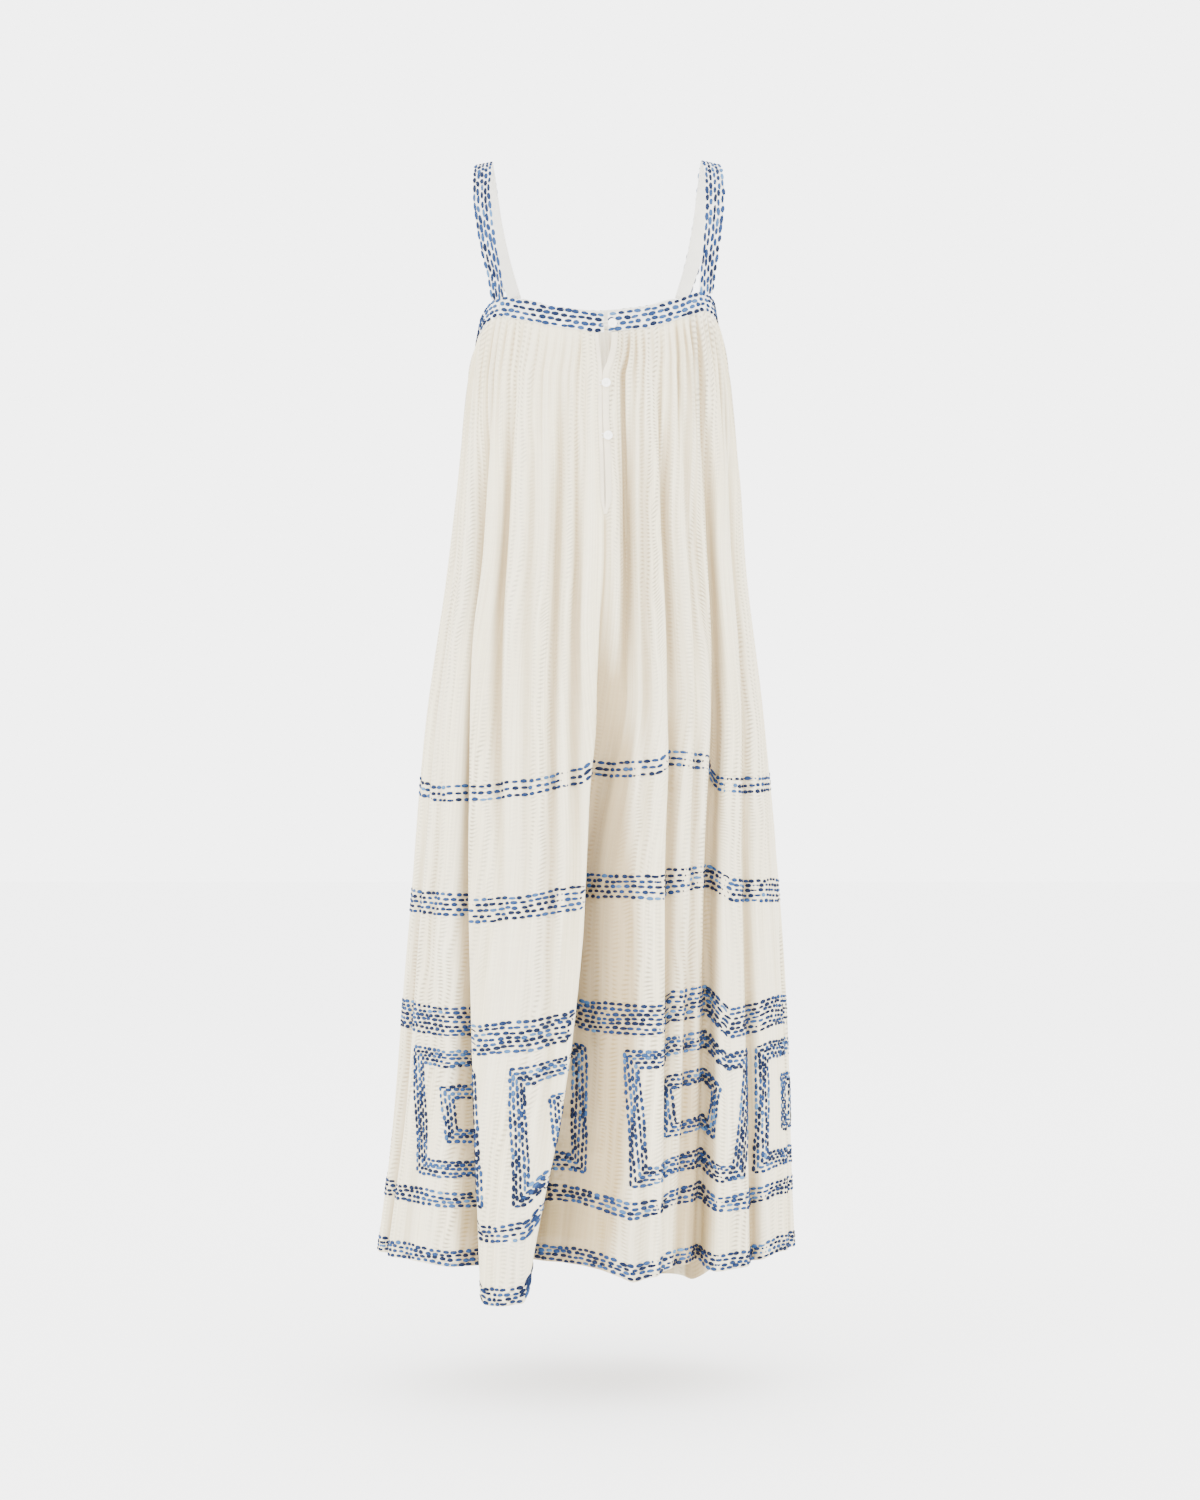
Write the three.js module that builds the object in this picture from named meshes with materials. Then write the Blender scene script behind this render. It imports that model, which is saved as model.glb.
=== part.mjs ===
// Maxi dress, hollow as worn. Millimetres, +Z up.
// The origin lies midway between the tops of the two shoulder straps.
// -Y is the back of the dress, the side in the photograph; +X is the viewer's right.
// Bearings are degrees round the dress from the middle of the back, rising towards +X.
import * as THREE from "three";

// Driving sizes
const CLOTH_WALL = 1.2;
const HEM_WALL = 2.0;
const BAND_WALL = 2.4;
const BAND_HEIGHT = 23.5;
const STRAP_WALL = 2.2;
const STRAP_SHARES = [-0.5, -0.25, 0, 0.25, 0.5];
const STRAP_END_GAP = 1.15;
const SEAM_GAP = 0.3;
const LAY_GAP = 0.4;
const GATHERS = 80;
const COLUMNS_PER_GATHER = 4;
const BINDING_WALL = 1.0;
const BINDING_WIDTH = { left: 4, right: 7 };
const SLIT_END = -430;
const BAND_FOOT_MID = -216.5;
const LOOP_THREAD = 0.5;
const RING_STEPS = 1440;

// Smooth outline: half sizes to each side by height, and how square it is
const SECTIONS = [
  { z: -140, left: 131, right: 133, back: 89, front: 96, square: 2.7 },
  { z: -200, left: 141, right: 143, back: 96, front: 110, square: 2.7 },
  { z: -260, left: 152, right: 155, back: 103, front: 122, square: 2.6 },
  { z: -368, left: 166, right: 169, back: 114, front: 130, square: 2.5 },
  { z: -476, left: 180, right: 177, back: 122, front: 132, square: 2.4 },
  { z: -668, left: 207, right: 201, back: 136, front: 140, square: 2.35 },
  { z: -890, left: 226, right: 219, back: 152, front: 150, square: 2.3 },
  { z: -1112, left: 243, right: 229, back: 168, front: 160, square: 2.25 },
  { z: -1300, left: 266, right: 234, back: 182, front: 172, square: 2.2 },
];

// Heights the fold columns stand for: top, waist, knee, hem
const LEVELS = [-200, -476, -890, -1300];

// Long folds. deg: bearing at waist, knee, hem. deep: depth there. wide: half width at waist, hem.
// flat: 2 is a round trough, more has a flat floor. lean: how far the sides roll over.
const FOLDS = [
  { name: "left side", deg: [-76, -75, -76], deep: [7, 10, 16], wide: [9, 10], flat: 2, lean: 0 },
  { name: "left deep", deg: [-61, -55, -45], deep: [17, 34, 50], wide: [8, 12], flat: 2.6, lean: -0.55 },
  { name: "tongue ridge", deg: [-46, -41, -31], deep: [0, -4, -16], wide: [20, 18], flat: 2, lean: 0 },
  { name: "tongue a", deg: [-48, -39, -30], deep: [14, 7, 0], wide: [7, 9], flat: 2, lean: 0 },
  { name: "tongue b", deg: [-35, -30, -26], deep: [7, 4, 0], wide: [8, 9], flat: 2, lean: 0 },
  { name: "tongue c", deg: [-22, -20, -20], deep: [13, 8, 0], wide: [7, 9], flat: 2, lean: 0 },
  { name: "tongue d", deg: [-11, -12, -16], deep: [9, 5, 0], wide: [6, 9], flat: 2, lean: 0 },
  { name: "centre recess", deg: [6, 7, -7], deep: [0, 50, 70], wide: [8, 40], flat: 4, lean: 0.95 },
  { name: "right a", deg: [16, 11, 9], deep: [20, 12, 0], wide: [8, 9], flat: 2, lean: 0 },
  { name: "right b", deg: [26, 20, 16], deep: [9, 5, 4], wide: [7, 9], flat: 2, lean: 0 },
  { name: "right c", deg: [37, 32, 24], deep: [13, 15, 8], wide: [7, 8], flat: 2, lean: 0.45 },
  { name: "right d", deg: [47, 40, 30], deep: [8, 10, 12], wide: [7, 9], flat: 2, lean: 0.2 },
  { name: "right deep", deg: [57, 46, 36.5], deep: [18, 28, 36], wide: [8, 12], flat: 2.6, lean: -0.25 },
  { name: "right e", deg: [70, 60, 57], deep: [8, 12, 18], wide: [8, 9], flat: 2, lean: -0.4 },
  { name: "right side", deg: [88, 84, 82], deep: [7, 12, 24], wide: [9, 12], flat: 2, lean: 0 },
  { name: "front a", deg: [104, 104, 104], deep: [8, 15, 25], wide: [10, 16], flat: 2, lean: 0 },
  { name: "front b", deg: [120, 122, 122], deep: [10, 20, 32], wide: [10, 18], flat: 2, lean: 0 },
  { name: "front c", deg: [138, 137, 140], deep: [8, 14, 21], wide: [9, 15], flat: 2, lean: 0 },
  { name: "front d", deg: [152, 153, 157], deep: [10, 18, 29], wide: [10, 17], flat: 2, lean: 0 },
  { name: "front e", deg: [168, 170, 174], deep: [7, 15, 22], wide: [9, 18], flat: 2, lean: 0 },
  { name: "front f", deg: [-176, -174, -170], deep: [10, 16, 27], wide: [10, 18], flat: 2, lean: 0 },
  { name: "front g", deg: [-160, -158, -155], deep: [7, 14, 21], wide: [9, 15], flat: 2, lean: 0 },
  { name: "front h", deg: [-145, -142, -140], deep: [10, 20, 31], wide: [10, 18], flat: 2, lean: 0 },
  { name: "front i", deg: [-129, -125, -122], deep: [8, 14, 20], wide: [9, 16], flat: 2, lean: 0 },
  { name: "front j", deg: [-112, -109, -105], deep: [10, 18, 29], wide: [10, 17], flat: 2, lean: 0 },
  { name: "front k", deg: [-94, -91, -88], deep: [6, 12, 19], wide: [9, 14], flat: 2, lean: 0 },
];

// How far the cloth is lifted or dropped by its folds. deg: bearing at knee, hem.
// up: lift at each height of LIFT_LEVELS.
const LIFT_LEVELS = [-200, -737, -873, -1015, -1300];
const LIFTS = [
  { deg: [-95, -95], up: [0, -8, -8, 0, 7] },
  { deg: [-66, -62], up: [0, -19, -11, -4, 9] },
  { deg: [-56, -46], up: [0, -17, -11, -6, 6] },
  { deg: [-50, -38], up: [0, -17, -18, -25, -34] },
  { deg: [-34, -26], up: [0, -12, -13, -20, -30] },
  { deg: [-8, -20], up: [0, 2, -2, -8, 4] },
  { deg: [0, -14], up: [0, 14, 13, 14, 11] },
  { deg: [6, 4], up: [0, 14, 13, 12, 9] },
  { deg: [13, 13], up: [0, 10, 11, 0, -6] },
  { deg: [27, 20], up: [0, 12, 10, 0, 0] },
  { deg: [33, 29], up: [0, 24, 18, 15, 10] },
  { deg: [46, 36], up: [0, 19, 22, 20, 12] },
  { deg: [54, 41], up: [0, -8, 7, -7, 2] },
  { deg: [61, 52], up: [0, -9, 4, -4, 4] },
  { deg: [68, 68], up: [0, -9, 4, 4, 14] },
  { deg: [100, 100], up: [0, -5, 0, 0, 5] },
  { deg: [132, 126], up: [0, -5, -5, -8, -22] },
  { deg: [148, 141], up: [0, -8, -8, -12, -55] },
  { deg: [158, 158], up: [0, -8, -8, -10, -50] },
  { deg: [172, 170], up: [0, -5, -5, -5, -8] },
  { deg: [-150, -150], up: [0, -5, -5, -5, -5] },
  { deg: [-120, -120], up: [0, -5, -2, 0, 0] },
];

// Centre-back seam: its bearing by height, and how far each edge stands back from it in the slit
const SEAM = [
  { z: -200, deg: 4.8, left: 8.2, right: 8.2 },
  { z: -218, deg: 4.8, left: 8.0, right: 8.2 },
  { z: -232, deg: 4.6, left: 6.8, right: 7.6 },
  { z: -250, deg: 3.9, left: 3.8, right: 4.6 },
  { z: -268, deg: 2.8, left: 0.7, right: 0.7 },
  { z: -310, deg: 2.7, left: 0.9, right: 0.9 },
  { z: -365, deg: 3.5, left: 1.2, right: 1.2 },
  { z: -420, deg: 3.9, left: 1.4, right: 1.4 },
  { z: -440, deg: 3.9, left: 0.18, right: 0.18 },
  { z: -700, deg: 3.0, left: 0.25, right: 0.25 },
  { z: -890, deg: 1.0, left: 0.25, right: 0.25 },
  { z: -1300, deg: -8.0, left: 0.24, right: 0.24 },
];

// Lower edge of the band that the skirt hangs from
const BAND_FOOT = [
  { deg: -180, z: -186 },
  { deg: -150, z: -181 },
  { deg: -132, z: -174 },
  { deg: -118, z: -196 },
  { deg: -104, z: -219 },
  { deg: -94, z: -224 },
  { deg: -86, z: -219.5 },
  { deg: -77.5, z: -210 },
  { deg: -70, z: -200.5 },
  { deg: -65, z: -196 },
  { deg: -59, z: -193.5 },
  { deg: -54, z: -196 },
  { deg: -42.5, z: -202 },
  { deg: -34, z: -206.5 },
  { deg: -25, z: -210 },
  { deg: -12.5, z: -213.5 },
  { deg: 3, z: -216.5 },
  { deg: 12, z: -215 },
  { deg: 30.5, z: -210.5 },
  { deg: 39, z: -206 },
  { deg: 50, z: -198 },
  { deg: 60, z: -189 },
  { deg: 65, z: -186 },
  { deg: 75.5, z: -189.5 },
  { deg: 84, z: -195 },
  { deg: 95, z: -212 },
  { deg: 105, z: -216 },
  { deg: 119, z: -196 },
  { deg: 132, z: -174 },
  { deg: 150, z: -181 },
  { deg: 180, z: -186 },
];

// Rows of the skirt. follow: how much of the band's line is kept. wave: half height of the gathers.
// fine: whether the row has every column or every second one.
const ROWS = [
  { z: -217, follow: 1.0, wave: 0.5, fine: true },
  { z: -232, follow: 0.8, wave: 2.6, fine: true },
  { z: -250, follow: 0.5, wave: 3.3, fine: true },
  { z: -270, follow: 0.25, wave: 3.1, fine: true },
  { z: -310, follow: 0.05, wave: 2.6, fine: false },
  { z: -365, follow: 0, wave: 2.1, fine: false },
  { z: -432, follow: 0, wave: 1.6, fine: false },
  { z: -520, follow: 0, wave: 1.0, fine: false },
  { z: -625, follow: 0, wave: 0.5, fine: false },
  { z: -737, follow: 0, wave: 0, fine: false },
  { z: -850, follow: 0, wave: 0, fine: false },
  { z: -960, follow: 0, wave: 0, fine: false },
  { z: -1060, follow: 0, wave: 0, fine: false },
  { z: -1150, follow: 0, wave: 0, fine: false },
  { z: -1232, follow: 0, wave: 0, fine: false },
  { z: -1306, follow: 0, wave: 0, fine: false },
];

// Straps from the back band over the shoulder to the front band. tilt: slope of the width.
// turn: how far the width is turned round the upright, to lie on the body.
const STRAP_PATHS = {
  left: [
    { x: -118, y: -61, z: -170, wide: 20, tilt: 0, turn: -40 },
    { x: -121, y: -72, z: -145, wide: 20, tilt: 0, turn: -30 },
    { x: -128, y: -78, z: -114, wide: 20.5, tilt: 2, turn: -18 },
    { x: -134, y: -75, z: -78, wide: 20.5, tilt: 5, turn: -8 },
    { x: -137, y: -64, z: -46, wide: 21, tilt: 8, turn: -2 },
    { x: -136.5, y: -42, z: -18, wide: 21, tilt: 11, turn: 0 },
    { x: -136, y: -12, z: -4, wide: 21, tilt: 12, turn: 0 },
    { x: -135, y: 20, z: -10, wide: 21, tilt: 11, turn: 0 },
    { x: -132, y: 48, z: -32, wide: 21, tilt: 8, turn: 4 },
    { x: -126, y: 68, z: -68, wide: 20.5, tilt: 5, turn: 12 },
    { x: -116, y: 78, z: -108, wide: 20, tilt: 2, turn: 24 },
    { x: -102, y: 80, z: -146, wide: 20, tilt: 0, turn: 34 },
  ],
  right: [
    { x: 128, y: -51, z: -162, wide: 21, tilt: 0, turn: 43 },
    { x: 129.5, y: -66, z: -138, wide: 21, tilt: 0, turn: 32 },
    { x: 132.5, y: -76, z: -112, wide: 21, tilt: -2, turn: 20 },
    { x: 136.5, y: -74, z: -78, wide: 21.5, tilt: -5, turn: 9 },
    { x: 138, y: -63, z: -44, wide: 22, tilt: -9, turn: 2 },
    { x: 136.5, y: -41, z: -16, wide: 22, tilt: -12, turn: 0 },
    { x: 134, y: -12, z: -3, wide: 22, tilt: -13, turn: 0 },
    { x: 133, y: 20, z: -9, wide: 22, tilt: -12, turn: 0 },
    { x: 130, y: 48, z: -31, wide: 21, tilt: -8, turn: -4 },
    { x: 125, y: 68, z: -68, wide: 20.5, tilt: -5, turn: -12 },
    { x: 116, y: 78, z: -108, wide: 20, tilt: -2, turn: -24 },
    { x: 102, y: 80, z: -146, wide: 20, tilt: 0, turn: -34 },
  ],
};

// Bands: name, bearing of each end
const CORNER = { leftBack: -60, rightBack: 66, leftFront: -132, rightFront: 132 };

// Buttons stand on the right half, each held by a thread loop from the left half
const BUTTON = { radius: 5.4, sides: 20 };
const BUTTONS = [
  { name: "top", x: 17.0, z: -205.5, on: "band" },
  { name: "middle", x: 9.6, z: -276, on: "binding" },
  { name: "low", x: 11.9, z: -338, on: "binding" },
];

// Monotone cubic through a table with rising places
function smooth(places, values, at) {
  const last = places.length - 1;
  const p = Math.min(Math.max(at, places[0]), places[last]);
  const width = [];
  const slope = [];
  for (let i = 0; i < last; i += 1) {
    width.push(places[i + 1] - places[i]);
    slope.push((values[i + 1] - values[i]) / width[i]);
  }
  const tangent = (i) => {
    if (i === 0) return slope[0];
    if (i === last) return slope[last - 1];
    if (slope[i - 1] * slope[i] <= 0) return 0;
    const w1 = 2 * width[i] + width[i - 1];
    const w2 = width[i] + 2 * width[i - 1];
    return (w1 + w2) / (w1 / slope[i - 1] + w2 / slope[i]);
  };
  let i = 0;
  while (i < last - 1 && p > places[i + 1]) i += 1;
  const t = (p - places[i]) / width[i];
  return (1 + 2 * t) * (1 - t) ** 2 * values[i] + t * (1 - t) ** 2 * width[i] * tangent(i)
    + t * t * (3 - 2 * t) * values[i + 1] + t * t * (t - 1) * width[i] * tangent(i + 1);
}

// One column of a table that is ordered by falling height
function byHeight(table, column, z) {
  return smooth(table.map((row) => -row.z), table.map((row) => row[column]), -z);
}

function atLevel(values, z) {
  return smooth(LEVELS.map((level) => -level), values, -z);
}

function step01(t) {
  const c = Math.min(Math.max(t, 0), 1);
  return c * c * (3 - 2 * c);
}

function wrapDegrees(deg) {
  return ((((deg + 180) % 360) + 360) % 360) - 180;
}

// Value between the rows of a table round the dress
function roundTable(rows, deg) {
  const sorted = rows.slice().sort((a, b) => a.deg - b.deg);
  const first = sorted[0];
  const final = sorted[sorted.length - 1];
  const loop = [{ deg: final.deg - 360, value: final.value }, ...sorted,
    { deg: first.deg + 360, value: first.value }];
  let i = 0;
  while (i < loop.length - 2 && deg > loop[i + 1].deg) i += 1;
  const t = step01((deg - loop[i].deg) / (loop[i + 1].deg - loop[i].deg));
  return loop[i].value * (1 - t) + loop[i + 1].value * t;
}

function bandFoot(deg) {
  return smooth(BAND_FOOT.map((row) => row.deg), BAND_FOOT.map((row) => row.z), wrapDegrees(deg));
}

function liftRows(z) {
  const toHem = smooth([890, 1300], [0, 1], -z);
  return LIFTS.map((row) => ({
    deg: row.deg[0] * (1 - toHem) + row.deg[1] * toHem,
    value: smooth(LIFT_LEVELS.map((level) => -level), row.up, -z),
  }));
}

// Smooth outline at a height, as a point and the outward direction for each bearing
function outlinePoint(z, angle) {
  const sine = Math.sin(angle);
  const cosine = Math.cos(angle);
  const across = byHeight(SECTIONS, sine >= 0 ? "right" : "left", z);
  const along = byHeight(SECTIONS, cosine >= 0 ? "back" : "front", z);
  const power = byHeight(SECTIONS, "square", z);
  const reach = (Math.abs(sine / across) ** power + Math.abs(cosine / along) ** power) ** (-1 / power);
  return { x: reach * sine, y: -reach * cosine };
}

function outline(z) {
  const columns = ["left", "right", "back", "front", "square"];
  const size = Object.fromEntries(columns.map((column) => [column, byHeight(SECTIONS, column, z)]));
  const points = [];
  for (let k = 0; k <= RING_STEPS; k += 1) {
    const angle = -Math.PI + (2 * Math.PI * k) / RING_STEPS;
    const sine = Math.sin(angle);
    const cosine = Math.cos(angle);
    const across = Math.abs(sine) / (sine >= 0 ? size.right : size.left);
    const along = Math.abs(cosine) / (cosine >= 0 ? size.back : size.front);
    const reach = (across ** size.square + along ** size.square) ** (-1 / size.square);
    points.push({ deg: (angle * 180) / Math.PI, x: reach * sine, y: -reach * cosine });
  }
  return points;
}

// Cumulative length along a closed list of points
function lengths(points) {
  const sums = [0];
  for (let k = 1; k < points.length; k += 1) {
    const dx = points[k].x - points[k - 1].x;
    const dy = points[k].y - points[k - 1].y;
    sums.push(sums[k - 1] + Math.hypot(dx, dy));
  }
  return sums;
}

function lookUp(list, sums, at) {
  const total = sums[sums.length - 1];
  const place = Math.min(Math.max(at, 0), total);
  let low = 0;
  let high = sums.length - 1;
  while (high - low > 1) {
    const middle = (low + high) >> 1;
    if (sums[middle] <= place) low = middle;
    else high = middle;
  }
  const t = (place - sums[low]) / (sums[high] - sums[low] || 1);
  const mix = (key) => list[low][key] * (1 - t) + list[high][key] * t;
  return { x: mix("x"), y: mix("y"), deg: mix("deg") };
}

// Folded ring of cloth at a height, with its cumulative length and the place of the back seam
const ringStore = new Map();
function foldedRing(z) {
  if (ringStore.has(z)) return ringStore.get(z);
  const base = outline(z);
  const sums = lengths(base);
  const around = sums[RING_STEPS];
  const placeOf = (deg) => {
    const k = ((wrapDegrees(deg) + 180) / 360) * RING_STEPS;
    const low = Math.min(Math.floor(k), RING_STEPS - 1);
    return sums[low] + (k - low) * (sums[low + 1] - sums[low]);
  };
  const folds = FOLDS.map((fold) => {
    const waist = fold.wide[0];
    const hem = fold.wide[1];
    return {
      place: placeOf(atLevel([fold.deg[0], ...fold.deg], z)),
      deep: atLevel([0, ...fold.deep], z),
      wide: atLevel([waist, waist, (waist + hem) / 2, hem], z),
      flat: fold.flat,
      lean: fold.lean,
    };
  });
  const points = base.map((point, k) => {
    const before = base[k === 0 ? RING_STEPS - 1 : k - 1];
    const after = base[k === RING_STEPS ? 1 : k + 1];
    const tx = after.x - before.x;
    const ty = after.y - before.y;
    const long = Math.hypot(tx, ty);
    let inward = 0;
    let shift = 0;
    folds.forEach((fold) => {
      const off = sums[k] - fold.place;
      const away = off - around * Math.round(off / around);
      const share = Math.exp(-(Math.abs(away / fold.wide) ** fold.flat));
      inward += fold.deep * share;
      shift -= fold.lean * fold.deep * share;
    });
    return {
      deg: point.deg,
      x: point.x - (ty / long) * inward + (tx / long) * shift,
      y: point.y + (tx / long) * inward + (ty / long) * shift,
    };
  });
  const run = lengths(points);
  const k = ((byHeight(SEAM, "deg", z) + 180) / 360) * RING_STEPS;
  const low = Math.floor(k);
  const ring = { points, run, total: run[RING_STEPS], seam: run[low] + (k - low) * (run[low + 1] - run[low]) };
  ringStore.set(z, ring);
  return ring;
}

// Uneven size of the gathers, the same every time
function gatherSize(u) {
  return 0.82 + 0.22 * Math.sin(2 * Math.PI * 7 * u + 0.6) + 0.16 * Math.sin(2 * Math.PI * 17 * u + 2.1);
}

// Middle of the cloth at cloth position u, from -0.5 to 0.5 with 0 at the back seam.
// extra: distance along the cloth from there.
function clothPoint(row, u, extra) {
  const ring = foldedRing(row.z);
  const half = u >= 0 ? ring.total - ring.seam : ring.seam;
  const place = ring.seam + 2 * u * half + extra;
  const point = lookUp(ring.points, ring.run, place);
  const ahead = lookUp(ring.points, ring.run, place + 1);
  const behind = lookUp(ring.points, ring.run, place - 1);
  const long = Math.hypot(ahead.x - behind.x, ahead.y - behind.y);
  const nx = (ahead.y - behind.y) / long;
  const ny = -(ahead.x - behind.x) / long;
  const fromSeam = Math.abs(place - ring.seam);
  const slitFlat = step01((fromSeam - 14) / 12);
  const wave = row.wave * gatherSize(u) * Math.cos(2 * Math.PI * GATHERS * u) * slitFlat;
  const rise = roundTable(liftRows(row.z), point.deg);
  const foot = row.follow * (bandFoot(point.deg) - BAND_FOOT_MID);
  return new THREE.Vector3(point.x + nx * wave, point.y + ny * wave, row.z + rise * (1 - row.follow) + foot);
}

// Closed wall from a grid of middle points. Rows may have every column or every second one.
// beyond: for each row the points just past its two ends, so that walls meet square at a seam.
function wallFromRows(rows, thick, beyond) {
  const near = (line, j) => line[Math.min(Math.max(j, 0), line.length - 1)];
  const normalAt = (i, j) => {
    const line = rows[i];
    const ahead = beyond && j === line.length - 1 ? beyond[i].last : near(line, j + 1);
    const behind = beyond && j === 0 ? beyond[i].first : near(line, j - 1);
    const side = ahead.clone().sub(behind);
    const share = j / (line.length - 1);
    const above = rows[Math.max(i - 1, 0)];
    const below = rows[Math.min(i + 1, rows.length - 1)];
    const up = near(above, Math.round(share * (above.length - 1))).clone();
    up.sub(near(below, Math.round(share * (below.length - 1))));
    return side.cross(up).normalize();
  };
  const vertices = [];
  const layer = (offset) => rows.map((line, i) => line.map((point, j) => {
    const moved = point.clone().addScaledVector(normalAt(i, j), offset * thick(i));
    vertices.push(moved.x, moved.y, moved.z);
    return vertices.length / 3 - 1;
  }));
  const outer = layer(0.5);
  const inner = layer(-0.5);
  const faces = [];
  const strip = (upper, lower, turned) => {
    const add = (a, b, c) => (turned ? faces.push(a, c, b) : faces.push(a, b, c));
    if (upper.length === lower.length) {
      for (let j = 0; j < upper.length - 1; j += 1) {
        add(upper[j], lower[j], lower[j + 1]);
        add(upper[j], lower[j + 1], upper[j + 1]);
      }
    } else {
      for (let j = 0; j < lower.length - 1; j += 1) {
        add(upper[2 * j], lower[j], upper[2 * j + 1]);
        add(upper[2 * j + 1], lower[j], lower[j + 1]);
        add(upper[2 * j + 1], lower[j + 1], upper[2 * j + 2]);
      }
    }
  };
  for (let i = 0; i < rows.length - 1; i += 1) {
    strip(outer[i], outer[i + 1], false);
    strip(inner[i], inner[i + 1], true);
  }
  strip(inner[0], outer[0], false);
  strip(outer[rows.length - 1], inner[rows.length - 1], false);
  const firstOf = (grid) => grid.map((line) => line[0]);
  const lastOf = (grid) => grid.map((line) => line[line.length - 1]);
  strip(firstOf(outer), firstOf(inner), false);
  strip(lastOf(outer), lastOf(inner), true);
  return closedGeometry(vertices, faces);
}

function closedGeometry(vertices, faces) {
  let volume = 0;
  const at = (k) => new THREE.Vector3(vertices[3 * k], vertices[3 * k + 1], vertices[3 * k + 2]);
  for (let f = 0; f < faces.length; f += 3) {
    volume += at(faces[f]).dot(at(faces[f + 1]).cross(at(faces[f + 2])));
  }
  if (volume < 0) {
    for (let f = 0; f < faces.length; f += 3) {
      const kept = faces[f + 1];
      faces[f + 1] = faces[f + 2];
      faces[f + 2] = kept;
    }
  }
  const geometry = new THREE.BufferGeometry();
  geometry.setAttribute("position", new THREE.Float32BufferAttribute(vertices, 3));
  geometry.setIndex(faces);
  geometry.computeVertexNormals();
  return geometry;
}

// How far a panel's edge stands from its seam line on one row
function edgeInset(side, z) {
  return side === "side" ? SEAM_GAP / 2 : byHeight(SEAM, side, z);
}

// Skirt panel between two cloth positions; each end is a side seam or one edge of the back seam
function skirtPanel(uStart, uEnd, startSide, endSide) {
  const gathers = Math.round((uEnd - uStart) * GATHERS);
  const wrapped = (u) => (u > 0.5 ? u - 1 : u);
  const beyond = [];
  const grid = ROWS.map((row) => {
    const count = gathers * (row.fine ? COLUMNS_PER_GATHER : COLUMNS_PER_GATHER / 2);
    const pitch = (uEnd - uStart) / count;
    const line = [];
    for (let j = 0; j <= count; j += 1) {
      const share = j / count;
      const inset = 2 * edgeInset(startSide, row.z) * Math.max(0, 0.5 - share)
        - 2 * edgeInset(endSide, row.z) * Math.max(0, share - 0.5);
      const u = uStart + (uEnd - uStart) * share;
      line.push(clothPoint(row, wrapped(u), inset));
    }
    beyond.push({
      first: clothPoint(row, wrapped(uStart - pitch), 0),
      last: clothPoint(row, wrapped(uEnd + pitch), 0),
    });
    return line;
  });
  return wallFromRows(grid, (i) => (ROWS[i].z < -1200 ? HEM_WALL : CLOTH_WALL), beyond);
}

// Flat binding that lies on the panel along one edge of the slit
function binding(side) {
  const sign = side === "left" ? -1 : 1;
  const wide = BINDING_WIDTH[side];
  const rows = ROWS.filter((row) => row.z >= SLIT_END - 5).map((row) => {
    const inset = edgeInset(side, row.z);
    const places = [inset, inset + wide / 2, inset + wide];
    const ordered = sign > 0 ? places : places.reverse();
    return ordered.map((place) => clothPoint(row, sign * 1e-9, sign * place));
  });
  const lift = CLOTH_WALL / 2 + LAY_GAP + BINDING_WALL / 2;
  const lifted = rows.map((line) => {
    const normal = line[2].clone().sub(line[0]).cross(new THREE.Vector3(0, 0, 1)).normalize();
    return line.map((point) => point.clone().addScaledVector(normal, lift));
  });
  return wallFromRows(lifted, () => BINDING_WALL);
}

// Band between two bearings: three rows of points from its foot to its top edge
function bandPiece(startDeg, endDeg, startShift, endShift) {
  const count = Math.max(4, Math.round(Math.abs(endDeg - startDeg) / 4.5));
  const pitch = (endDeg - startDeg) / count;
  const bandPoint = (deg, share, slide) => {
    const turn = (wrapDegrees(deg) * Math.PI) / 180;
    const z = bandFoot(deg) + BAND_HEIGHT * share;
    const point = outlinePoint(z, turn);
    const ahead = outlinePoint(z, turn + 0.01);
    const behind = outlinePoint(z, turn - 0.01);
    const long = Math.hypot(ahead.x - behind.x, ahead.y - behind.y);
    return new THREE.Vector3(
      point.x + ((ahead.x - behind.x) * slide) / long,
      point.y + ((ahead.y - behind.y) * slide) / long,
      z + SEAM_GAP / 2,
    );
  };
  const beyond = [];
  const rows = [1, 0.5, 0].map((share) => {
    const line = [];
    for (let j = 0; j <= count; j += 1) {
      const slide = (j === 0 ? startShift : 0) - (j === count ? endShift : 0);
      line.push(bandPoint(startDeg + pitch * j, share, slide));
    }
    beyond.push({
      first: bandPoint(startDeg - pitch, share, 0),
      last: bandPoint(endDeg + pitch, share, 0),
    });
    return line;
  });
  return wallFromRows(rows, () => BAND_WALL, beyond);
}

// Bearing at which the band reaches a sideways place on the back
function bearingAcross(x, z) {
  let low = -40;
  let high = 40;
  for (let k = 0; k < 40; k += 1) {
    const middle = (low + high) / 2;
    if (outlinePoint(z, (middle * Math.PI) / 180).x < x) low = middle;
    else high = middle;
  }
  return (low + high) / 2;
}

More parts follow.
